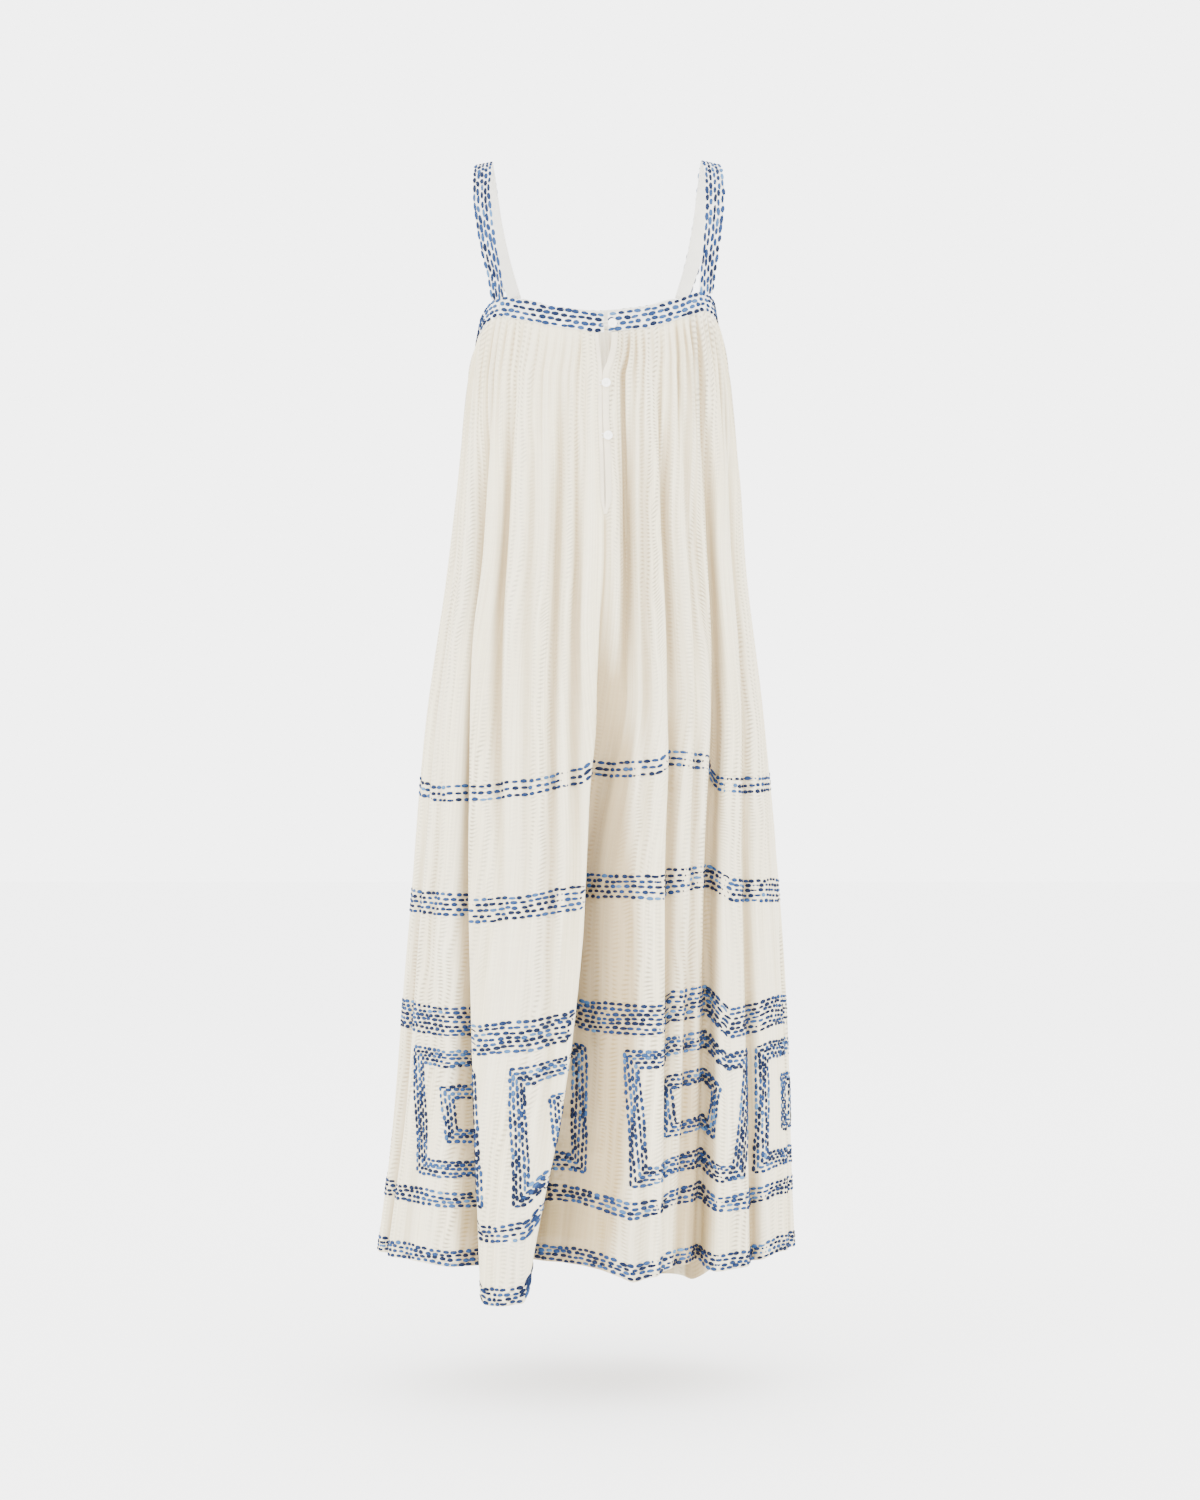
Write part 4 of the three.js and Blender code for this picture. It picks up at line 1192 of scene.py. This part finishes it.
class Top(Maker):
    """Bands, straps, buttons and thread loops."""

    def _band(self, start: float, end: float) -> Ribbon:
        """Band between two bearings.

        Args:
            start: first bearing.
            end: last bearing.
        Returns:
            The ribbon, its width upright.
        """
        deg = np.linspace(start, end, max(8, int(abs(end - start) / 1.5)) + 1)
        foot = band_foot(deg)
        bottom, top = (np.column_stack([*outline(z, np.radians(deg)), z])
                       for z in (foot, foot + self.sizes.height))
        centre = (bottom + top) / 2
        side = unit(bottom - top)
        normal = unit(np.cross(side, unit(np.gradient(centre, axis=0))))
        return Ribbon(centre, side, normal, np.linalg.norm(top - bottom, axis=1), self.sizes.wall, 4)

    def _strap(self, path: tuple) -> Ribbon:
        """Strap over the shoulder.

        Args:
            path: rows of the strap table.
        Returns:
            The ribbon.
        """
        rows = np.array(path, float)
        rows[(0, -1), 2] -= self.sizes.strap_tucks
        at = np.linspace(0, len(rows) - 1, self.sizes.strap_steps + 1)
        i = np.clip(at.astype(int), 0, len(rows) - 2)
        slope = np.gradient(rows, axis=0)
        value = cubic((at - i)[:, None], rows[i], rows[i + 1], slope[i], slope[i + 1])
        centre = value[:, :3]
        along = unit(np.gradient(centre, axis=0))
        tilt, turn = np.radians(value[:, 4:6]).T
        side = np.stack([np.cos(tilt) * np.cos(turn), np.sin(turn), np.sin(tilt)], axis=1)
        side = unit(side - along * np.sum(side * along, axis=1, keepdims=True))
        normal = unit(np.cross(side, along))
        outward = centre - np.array([0.0, 0.0, -150.0])
        normal = normal * np.sign(np.sum(normal * outward, axis=1, keepdims=True))
        return Ribbon(centre, side, normal, value[:, 3], self.sizes.strap_wall, 5)

    def build(self) -> None:
        """Makes the bands and straps with their stitches."""
        left_end, right_start = (self._bearing(x) for x in self.sizes.back_ends)
        pieces = {
            "back_band_left": self._band(-60, left_end),
            "back_band_right": self._band(right_start, 66),
            "underarm_band_left": self._band(-132, -60.2),
            "underarm_band_right": self._band(66.2, 132),
            "front_band": self._band(132.2, 227.8),
            "strap_left": self._strap(STRAP_PATHS["left"]),
            "strap_right": self._strap(STRAP_PATHS["right"]),
        }
        rows: dict[str, list[tuple]] = {kind: [] for kind in TAPE_STITCHES}
        for name, ribbon in pieces.items():
            kind = "straps" if name.startswith("strap") else "bands"
            obj = ribbon.mesh(self.shop, f"tape_{name}")
            self.shop.place(obj, Slot.BAND, self.looks.band, name)
            rows[kind] += ribbon.stitch(self.stitcher, TAPE_STITCHES[kind][0])
        for kind, parts in rows.items():
            self.stitcher.build(f"stitches_{kind}", parts, TAPE_STITCHES[kind][1])

    def _bearing(self, x: float) -> float:
        """Bearing at which the back band reaches a sideways place."""
        deg = np.linspace(-40, 40, 801)
        return float(np.interp(x, outline(self.sizes.back_level, np.radians(deg))[0], deg))

    def _face(self, x: float, z: float, on_band: bool) -> float:
        """Outermost face under a button.

        Args:
            x: sideways place.
            z: height.
            on_band: True on the band, False on the slit binding.
        Returns:
            The y of the face in millimetres.
        """
        if on_band:
            deg = math.radians(self._bearing(x))
            return float(outline(z, np.array(deg))[1]) - self.sizes.wall / 2
        px, py = self.cloth.ring(z)[1:3]
        back = py < 0
        order = np.argsort(px[back])
        return float(np.interp(x, px[back][order], py[back][order])) - 2.0

    def buttons(self, sizes: ButtonSizes) -> None:
        """Makes the buttons with their threads, and the loops.

        Args:
            sizes: button sizes.
        """
        for name, x, z, on_band in BUTTONS:
            place = Vector((x, self._face(x, z, on_band), z))
            self._button(name, place, sizes)
            self._thread(name, place, sizes)
            self._loop(name, x, z, on_band, sizes)

    def _button(self, name: str, place: Vector, sizes: ButtonSizes) -> None:
        """One turned button with a dished face.

        Args:
            name: which button.
            place: the face under it, in millimetres.
            sizes: button sizes.
        """
        bm = bmesh.new()
        verts = [bm.verts.new((out * MM, 0, (sizes.stand + up) * MM)) for out, up in BUTTON_PROFILE]
        edges = [bm.edges.new((a, b)) for a, b in zip(verts, verts[1:])]
        bmesh.ops.spin(bm, geom=verts + edges, cent=(0, 0, 0), axis=(0, 0, 1), angle=2 * math.pi, steps=40,
                       use_merge=True)
        bmesh.ops.remove_doubles(bm, verts=bm.verts, dist=2e-5)
        bmesh.ops.recalc_face_normals(bm, faces=bm.faces)
        obj = self._standing(f"pearl_{name}", bm, place)
        self.shop.place(obj, Slot.BUTTON, self.looks.pearl, f"button_{name}")

    def _thread(self, name: str, place: Vector, sizes: ButtonSizes) -> None:
        """The sewing thread of a button: four hole ends, two bars and the shank.

        Args:
            name: which button.
            place: the face under it, in millimetres.
            sizes: button sizes.
        """
        bm = bmesh.new()
        base = sizes.stand
        for x in (-sizes.hole, sizes.hole):
            for y in (-sizes.hole, sizes.hole):
                self._cone(bm, 10, (0.62, 0.55), 0.5, (x, y, base + 1.55))
            bar = bmesh.ops.create_uvsphere(bm, u_segments=8, v_segments=6, radius=0.5 * MM)
            bmesh.ops.scale(bm, verts=bar["verts"], vec=(1.0, 3.2, 0.8))
            bmesh.ops.translate(bm, verts=bar["verts"], vec=Vector((x, 0, base + 1.75)) * MM)
        self._cone(bm, 12, (sizes.shank, sizes.shank * 0.9), base - 0.2, (0, 0, (base + 0.2) / 2))
        obj = self._standing(f"thread_{name}", bm, place)
        self.shop.place(obj, Slot.LOOP, self.looks.thread)

    def _cone(self, bm: bmesh.types.BMesh, sides: int, radii: tuple[float, float], tall: float,
              middle: tuple[float, float, float]) -> None:
        """Adds a cone, in millimetres.

        Args:
            bm: the shape it joins.
            sides: how many sides it has.
            radii: radius of its foot and of its top.
            tall: its height.
            middle: its middle.
        """
        made = bmesh.ops.create_cone(bm, cap_ends=True, segments=sides, radius1=radii[0] * MM,
                                     radius2=radii[1] * MM, depth=tall * MM)
        bmesh.ops.translate(bm, verts=made["verts"], vec=Vector(middle) * MM)

    def _standing(self, name: str, bm: bmesh.types.BMesh, place: Vector) -> bpy.types.Object:
        """Turns a shape made along +Z to face -Y and stands it on its place.

        Args:
            name: object name.
            bm: the shape, freed here.
            place: where its base goes, in millimetres.
        Returns:
            The new object.
        """
        turn = Vector((0, 0, 1)).rotation_difference(Vector((0, -1, 0))).to_matrix()
        bmesh.ops.rotate(bm, verts=bm.verts, cent=(0, 0, 0), matrix=turn)
        bmesh.ops.translate(bm, verts=bm.verts, vec=place * MM)
        return self.shop.from_bmesh(name, bm)

    def _loop(self, name: str, x: float, z: float, on_band: bool, sizes: ButtonSizes) -> None:
        """Thread loop round a button's shank.

        Args:
            name: which button.
            x: sideways place of the button.
            z: its height.
            on_band: whether it sits on the band.
            sizes: button sizes.
        """
        bend = sizes.shank + sizes.loop + 0.4
        tail = sizes.band_tail if on_band else sizes.slit_tail
        straight = np.linspace(x - tail, x, 8)[:-1]
        path = [(px, z + bend) for px in straight]
        path += [(x + bend * math.cos(t), z + bend * math.sin(t))
                 for t in np.linspace(math.pi / 2, -math.pi / 2, 13)]
        path += [(px, z - bend) for px in straight[::-1]]
        centre = np.array([(px, self._face(px, z, on_band) - 1.35, pz) for px, pz in path])
        along = unit(np.gradient(centre, axis=0))
        out = np.broadcast_to(np.array([0.0, -1.0, 0.0]), along.shape)
        side = unit(np.cross(along, out))
        rings = [centre + side * (sizes.loop * math.cos(a)) + out * (sizes.loop * math.sin(a))
                 for a in np.linspace(0, 2 * math.pi, 9)[:-1]]
        obj = self.shop.tube(f"loop_{name}_thread", np.stack(rings))
        self.shop.place(obj, Slot.LOOP, self.looks.thread, f"loop_{name}")


class Nodes:
    """Short calls that add nodes to one tree."""

    def __init__(self, tree: bpy.types.NodeTree) -> None:
        """Keeps the tree."""
        self.tree = tree

    @classmethod
    def group(cls, name: str, outputs: tuple[str, ...],
              **values: float) -> tuple["Nodes", bpy.types.Node, bpy.types.Node]:
        """A node group with a Vector input.

        Args:
            name: group name.
            outputs: names of its float outputs.
            values: start value of each further float input.
        Returns:
            Its nodes, its input node and its output node.
        """
        tree = bpy.data.node_groups.new(name, "ShaderNodeTree")
        tree.interface.new_socket("Vector", in_out="INPUT", socket_type="NodeSocketVector")
        for key, value in values.items():
            socket = tree.interface.new_socket(key, in_out="INPUT", socket_type="NodeSocketFloat")
            socket.default_value = value
        for key in outputs:
            tree.interface.new_socket(key, in_out="OUTPUT", socket_type="NodeSocketFloat")
        return cls(tree), tree.nodes.new("NodeGroupInput"), tree.nodes.new("NodeGroupOutput")

    def put(self, value: object, socket: bpy.types.NodeSocket) -> None:
        """Sets a socket to a constant, or links another socket to it.

        Args:
            value: the constant or the socket.
            socket: the input.
        """
        if isinstance(value, bpy.types.NodeSocket):
            self.tree.links.new(value, socket)
        else:
            socket.default_value = value

    def make(self, kind: str, **inputs: object) -> bpy.types.Node:
        """A shader node with some of its inputs given.

        Args:
            kind: its type, without the word ShaderNode.
            inputs: constant or socket for each input, its name's spaces written as _.
        Returns:
            The node.
        """
        node = self.tree.nodes.new(f"ShaderNode{kind}")
        for key, value in inputs.items():
            self.put(value, node.inputs[key.replace("_", " ")])
        return node

    def use(self, group: bpy.types.NodeTree, vector: bpy.types.NodeSocket,
            **values: float) -> bpy.types.Node:
        """Puts a group in the tree.

        Args:
            group: the group.
            vector: socket for its Vector input.
            values: its other inputs.
        Returns:
            The group node.
        """
        node = self.make("Group")
        node.node_tree = group
        for key, value in {"Vector": vector, **values}.items():
            self.put(value, node.inputs[key])
        return node

    def math(self, kind: str, *values: object) -> bpy.types.NodeSocket:
        """A math node.

        Args:
            kind: operation.
            values: its numbers or sockets.
        Returns:
            The result socket.
        """
        node = self.make("Math")
        node.operation = kind
        for value, socket in zip(values, node.inputs):
            self.put(value, socket)
        return node.outputs[0]

    def ramp(self, value: bpy.types.NodeSocket, low: float, high: float, out_low: float = 0.0,
             out_high: float = 1.0) -> bpy.types.NodeSocket:
        """Maps a range of a value to another range."""
        return self.make("MapRange", Value=value, From_Min=low, From_Max=high, To_Min=out_low,
                         To_Max=out_high).outputs[0]

    def mix(self, share: bpy.types.NodeSocket, *colours: object) -> bpy.types.NodeSocket:
        """Mixes two colours.

        Args:
            share: share of the second.
            colours: the two colours or sockets.
        Returns:
            The colour socket.
        """
        node = self.make("Mix")
        node.data_type = "RGBA"
        self.put(share, node.inputs["Factor"])
        for colour, socket in zip(colours, (node.inputs[6], node.inputs[7])):
            self.put((*colour, 1) if isinstance(colour, tuple) else colour, socket)
        return node.outputs[2]

    def noise(self, vector: bpy.types.NodeSocket, scale: float, detail: float = 2.0,
              stretch: tuple[float, ...] | None = None) -> bpy.types.NodeSocket:
        """Noise, drawn out along some axes.

        Args:
            vector: where it is read.
            scale: its scale.
            detail: its detail.
            stretch: scale of each axis, smaller where it is drawn out.
        Returns:
            The value socket.
        """
        if stretch is not None:
            vector = self.make("Mapping", Vector=vector, Scale=stretch).outputs[0]
        return self.make("TexNoise", Vector=vector, Scale=scale, Detail=detail).outputs[0]

    def bump(self, height: bpy.types.NodeSocket, strength: float, distance: float,
             shader: bpy.types.Node) -> None:
        """Relief on a shader."""
        node = self.make("Bump", Strength=strength, Distance=distance, Height=height)
        self.put(node.outputs[0], shader.inputs["Normal"])


class Looks:
    """Procedural materials, with shared effects as node groups."""

    def __init__(self) -> None:
        """Builds every material once."""
        self.weave = self._weave_group()
        self.streaks = self._streak_group()
        self.moire = self._moire_group()
        self.gauze = self._gauze()
        self.binding = self._plain_cloth(BINDING_FINISH, 1500.0)
        self.band = self._plain_cloth(BAND_FINISH, 1100.0)
        self.yarn = self._yarn()
        self.pearl = self._pearl()
        self.thread = self._plain_cloth(THREAD_FINISH, 2400.0)
        self.floor, _, shader = self._new(FLOOR_FINISH)
        shader.inputs["Specular IOR Level"].default_value = 0.1

    def _new(self, finish: Finish) -> tuple[bpy.types.Material, Nodes, bpy.types.Node]:
        """A material with one Principled shader.

        Args:
            finish: its look.
        Returns:
            The material, its nodes and its shader node.
        """
        material = bpy.data.materials.new(finish.name)
        material.use_nodes = True
        shader = material.node_tree.nodes["Principled BSDF"]
        shader.inputs["Base Color"].default_value = (*finish.colour, 1)
        shader.inputs["Roughness"].default_value = finish.roughness
        return material, Nodes(material.node_tree), shader

    def _weave_group(self) -> bpy.types.NodeTree:
        """Open plain weave: crossing threads from two sine waves, with uneven spacing.

        Returns:
            The group, with Vector and Density in, Height and Holes out.
        """
        nodes, given, out = Nodes.group("weave", ("Height", "Holes"), Density=1200.0)
        vector = given.outputs["Vector"]
        split = nodes.make("SeparateXYZ", Vector=vector)
        sway = nodes.math("MULTIPLY", nodes.noise(vector, 60.0), 9.0)
        waves = []
        for axis in (0, 1):
            turn = nodes.math("MULTIPLY", split.outputs[axis], given.outputs["Density"])
            turn = nodes.math("ADD", nodes.math("MULTIPLY", turn, math.pi), sway)
            waves.append(nodes.math("ABSOLUTE", nodes.math("SINE", turn)))
        gaps = [nodes.math("SUBTRACT", 1.0, wave) for wave in waves]
        nodes.put(nodes.math("MAXIMUM", *waves), out.inputs["Height"])
        nodes.put(nodes.math("MULTIPLY", *gaps), out.inputs["Holes"])
        return nodes.tree

    def _streak_group(self) -> bpy.types.NodeTree:
        """Uneven threads: long streaks down the cloth and broad patches.

        Returns:
            The group, with Vector in, Fine, Broad and Slub out.
        """
        nodes, given, out = Nodes.group("streaks", ("Fine", "Broad", "Slub"))
        for key, stretch, scale, detail in (("Fine", (1.0, 0.012, 1.0), 420.0, 3.0),
                                            ("Broad", (1.0, 0.10, 1.0), 26.0, 3.0),
                                            ("Slub", (0.05, 1.0, 1.0), 330.0, 2.0)):
            nodes.put(nodes.noise(given.outputs["Vector"], scale, detail, stretch), out.inputs[key])
        return nodes.tree

    def _moire_group(self) -> bpy.types.NodeTree:
        """Wavy lines, in patches, where two layers of open weave lie over each other.

        Returns:
            The group, with Vector in and Lines out.
        """
        nodes, given, out = Nodes.group("moire", ("Lines",))
        vector = given.outputs["Vector"]
        split = nodes.make("SeparateXYZ", Vector=vector)
        drift = nodes.noise(vector, 30.0, 1.0, (1.0, 0.4, 1.0))
        patch = nodes.ramp(nodes.noise(vector, 11.0, 1.0, (1.0, 0.22, 1.0)), 0.40, 0.62)
        shares = []
        for axis, turns, sway, low in ((1, 1350.0, 26.0, -0.5), (0, 420.0, 12.0, -0.8)):
            turn = nodes.math("MULTIPLY", split.outputs[axis], turns)
            turn = nodes.math("ADD", turn, nodes.math("MULTIPLY", drift, sway))
            shares.append(nodes.ramp(nodes.math("SINE", turn), low, 1.0))
        nodes.put(nodes.math("MULTIPLY", nodes.math("MULTIPLY", *shares), patch), out.inputs["Lines"])
        return nodes.tree

    def _gauze(self) -> bpy.types.Material:
        """Cream open gauze, a little see-through, with painted shade that makes it darker and warmer in its
        folds.

        Returns:
            The material.
        """
        material, nodes, shader = self._new(GAUZE_FINISH)
        uv = nodes.make("UVMap")
        uv.uv_map = "cloth"
        weave = nodes.use(self.weave, uv.outputs[0], Density=900.0)
        streaks = nodes.use(self.streaks, uv.outputs[0])
        moire = nodes.use(self.moire, uv.outputs[0])
        fold = nodes.make("Attribute")
        fold.attribute_name = "fold"
        fine, broad = (nodes.ramp(streaks.outputs[key], 0.35, 0.65) for key in ("Fine", "Broad"))
        base = nodes.mix(fine, GAUZE_TONES["dark thread"], GAUZE_TONES["light thread"])
        base = nodes.mix(nodes.math("MULTIPLY", broad, 0.35), base, GAUZE_TONES["patch"])
        base = nodes.mix(moire.outputs["Lines"], base, GAUZE_TONES["line"])
        # Painted shade: the warm dark fold tone, mixed in by the fold attribute
        base = nodes.mix(nodes.ramp(fold.outputs["Fac"], 0.12, 1.0, 0.0, 0.72), base, GAUZE_TONES["fold"])
        nodes.put(base, shader.inputs["Base Color"])
        gone = nodes.math("MULTIPLY", weave.outputs["Holes"], 0.30)
        for key, most in (("Broad", 0.06), ("Slub", 0.05)):
            gone = nodes.math("ADD", gone, nodes.ramp(streaks.outputs[key], 0.3, 0.7, most, 0.0))
        nodes.put(nodes.math("SUBTRACT", 0.97, gone), shader.inputs["Alpha"])
        height = nodes.math("MULTIPLY", weave.outputs["Height"], 0.5)
        for key, share in (("Fine", 0.9), ("Slub", 0.4)):
            height = nodes.math("ADD", height, nodes.math("MULTIPLY", streaks.outputs[key], share))
        nodes.bump(height, GAUZE_FINISH.relief, 0.0006, shader)
        shader.inputs["Specular IOR Level"].default_value = 0.15
        return material

    def _plain_cloth(self, finish: Finish, density: float) -> bpy.types.Material:
        """Closer woven cloth or twisted thread.

        Args:
            finish: its look.
            density: threads in a metre.
        Returns:
            The material.
        """
        material, nodes, shader = self._new(finish)
        place = nodes.make("TexCoord").outputs["Object"]
        weave = nodes.use(self.weave, place, Density=density)
        streaks = nodes.use(self.streaks, place)
        dark = tuple(c * 0.86 for c in finish.colour)
        tone = nodes.ramp(streaks.outputs["Broad"], 0.35, 0.65)
        nodes.put(nodes.mix(tone, dark, finish.colour), shader.inputs["Base Color"])
        nodes.bump(weave.outputs["Height"], finish.relief, 0.0005, shader)
        shader.inputs["Sheen Weight"].default_value = 0.2
        return material

    def _yarn(self) -> bpy.types.Material:
        """Space-dyed yarn, its colour kept on each stitch, with fine fibres.

        Returns:
            The material.
        """
        material, nodes, shader = self._new(YARN_FINISH)
        colour = nodes.make("Attribute")
        colour.attribute_name = "yarn"
        noise = nodes.noise(nodes.make("TexCoord").outputs["Object"], 1400.0)
        share = nodes.ramp(noise, 0.55, 0.8, 0.0, 0.25)
        nodes.put(nodes.mix(share, colour.outputs["Color"], (0.20, 0.36, 0.55)), shader.inputs["Base Color"])
        nodes.bump(noise, YARN_FINISH.relief, 0.0006, shader)
        shader.inputs["Specular IOR Level"].default_value = 0.08
        return material

    def _pearl(self) -> bpy.types.Material:
        """Pearly button with cloudy bands.

        Returns:
            The material.
        """
        material, nodes, shader = self._new(PEARL_FINISH)
        place = nodes.make("TexCoord").outputs["Object"]
        noise = nodes.make("TexNoise", Vector=place, Scale=260.0, Distortion=1.5).outputs[0]
        tone = nodes.ramp(noise, 0.35, 0.65)
        nodes.put(nodes.mix(tone, (0.86, 0.85, 0.80), (0.94, 0.92, 0.88)), shader.inputs["Base Color"])
        nodes.bump(noise, PEARL_FINISH.relief, 0.0003, shader)
        shader.inputs["Coat Weight"].default_value = 0.5
        return material


class Studio:
    """Camera, lights, floor and world."""

    def build(self, shop: Shop, looks: Looks, sizes: StudioSizes) -> None:
        """Makes the studio.

        Args:
            shop: mesh maker.
            looks: materials.
            sizes: places and strengths.
        """
        scene = bpy.context.scene
        data = bpy.data.cameras.new("camera")
        data.lens = sizes.lens
        data.sensor_width = sizes.sensor
        camera = shop.link("camera", data)
        camera.location = sizes.camera
        camera.rotation_euler = (math.pi / 2, 0, 0)
        scene.camera = camera
        bm = bmesh.new()
        bmesh.ops.create_grid(bm, x_segments=1, y_segments=1, size=sizes.floor_half)
        bmesh.ops.translate(bm, verts=bm.verts, vec=(0, 0, sizes.floor))
        plane = shop.from_bmesh("floor", bm)
        plane.data.materials.append(looks.floor)
        for name, place, size, power in sizes.lights:
            light = bpy.data.lights.new(name, "AREA")
            light.size = size
            light.energy = power
            lamp = shop.link(name, light)
            lamp.location = place
            lamp.rotation_euler = (Vector(sizes.aim) - Vector(place)).to_track_quat("-Z", "Y").to_euler()
        world = bpy.data.worlds.new("white room")
        world.use_nodes = True
        world.node_tree.nodes["Background"].inputs["Color"].default_value = (1, 1, 1, 1)
        world.node_tree.nodes["Background"].inputs["Strength"].default_value = sizes.world
        scene.world = world


def main() -> None:
    """Builds the whole scene on the frame."""
    logging.basicConfig(level=logging.INFO)
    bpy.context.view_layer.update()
    looks = Looks()
    shop = Shop()
    cloth = SkirtCloth(ClothSizes())
    helpers = (shop, cloth, Stitcher(shop, looks, StitchSizes()), looks, BandSizes())
    skirt = Skirt(*helpers)
    skirt.panels()
    skirt.stitches()
    skirt.bindings()
    top = Top(*helpers)
    top.build()
    top.buttons(ButtonSizes())
    skirt.declare()
    Studio().build(shop, looks, StudioSizes())


if __name__ == "__main__":
    main()
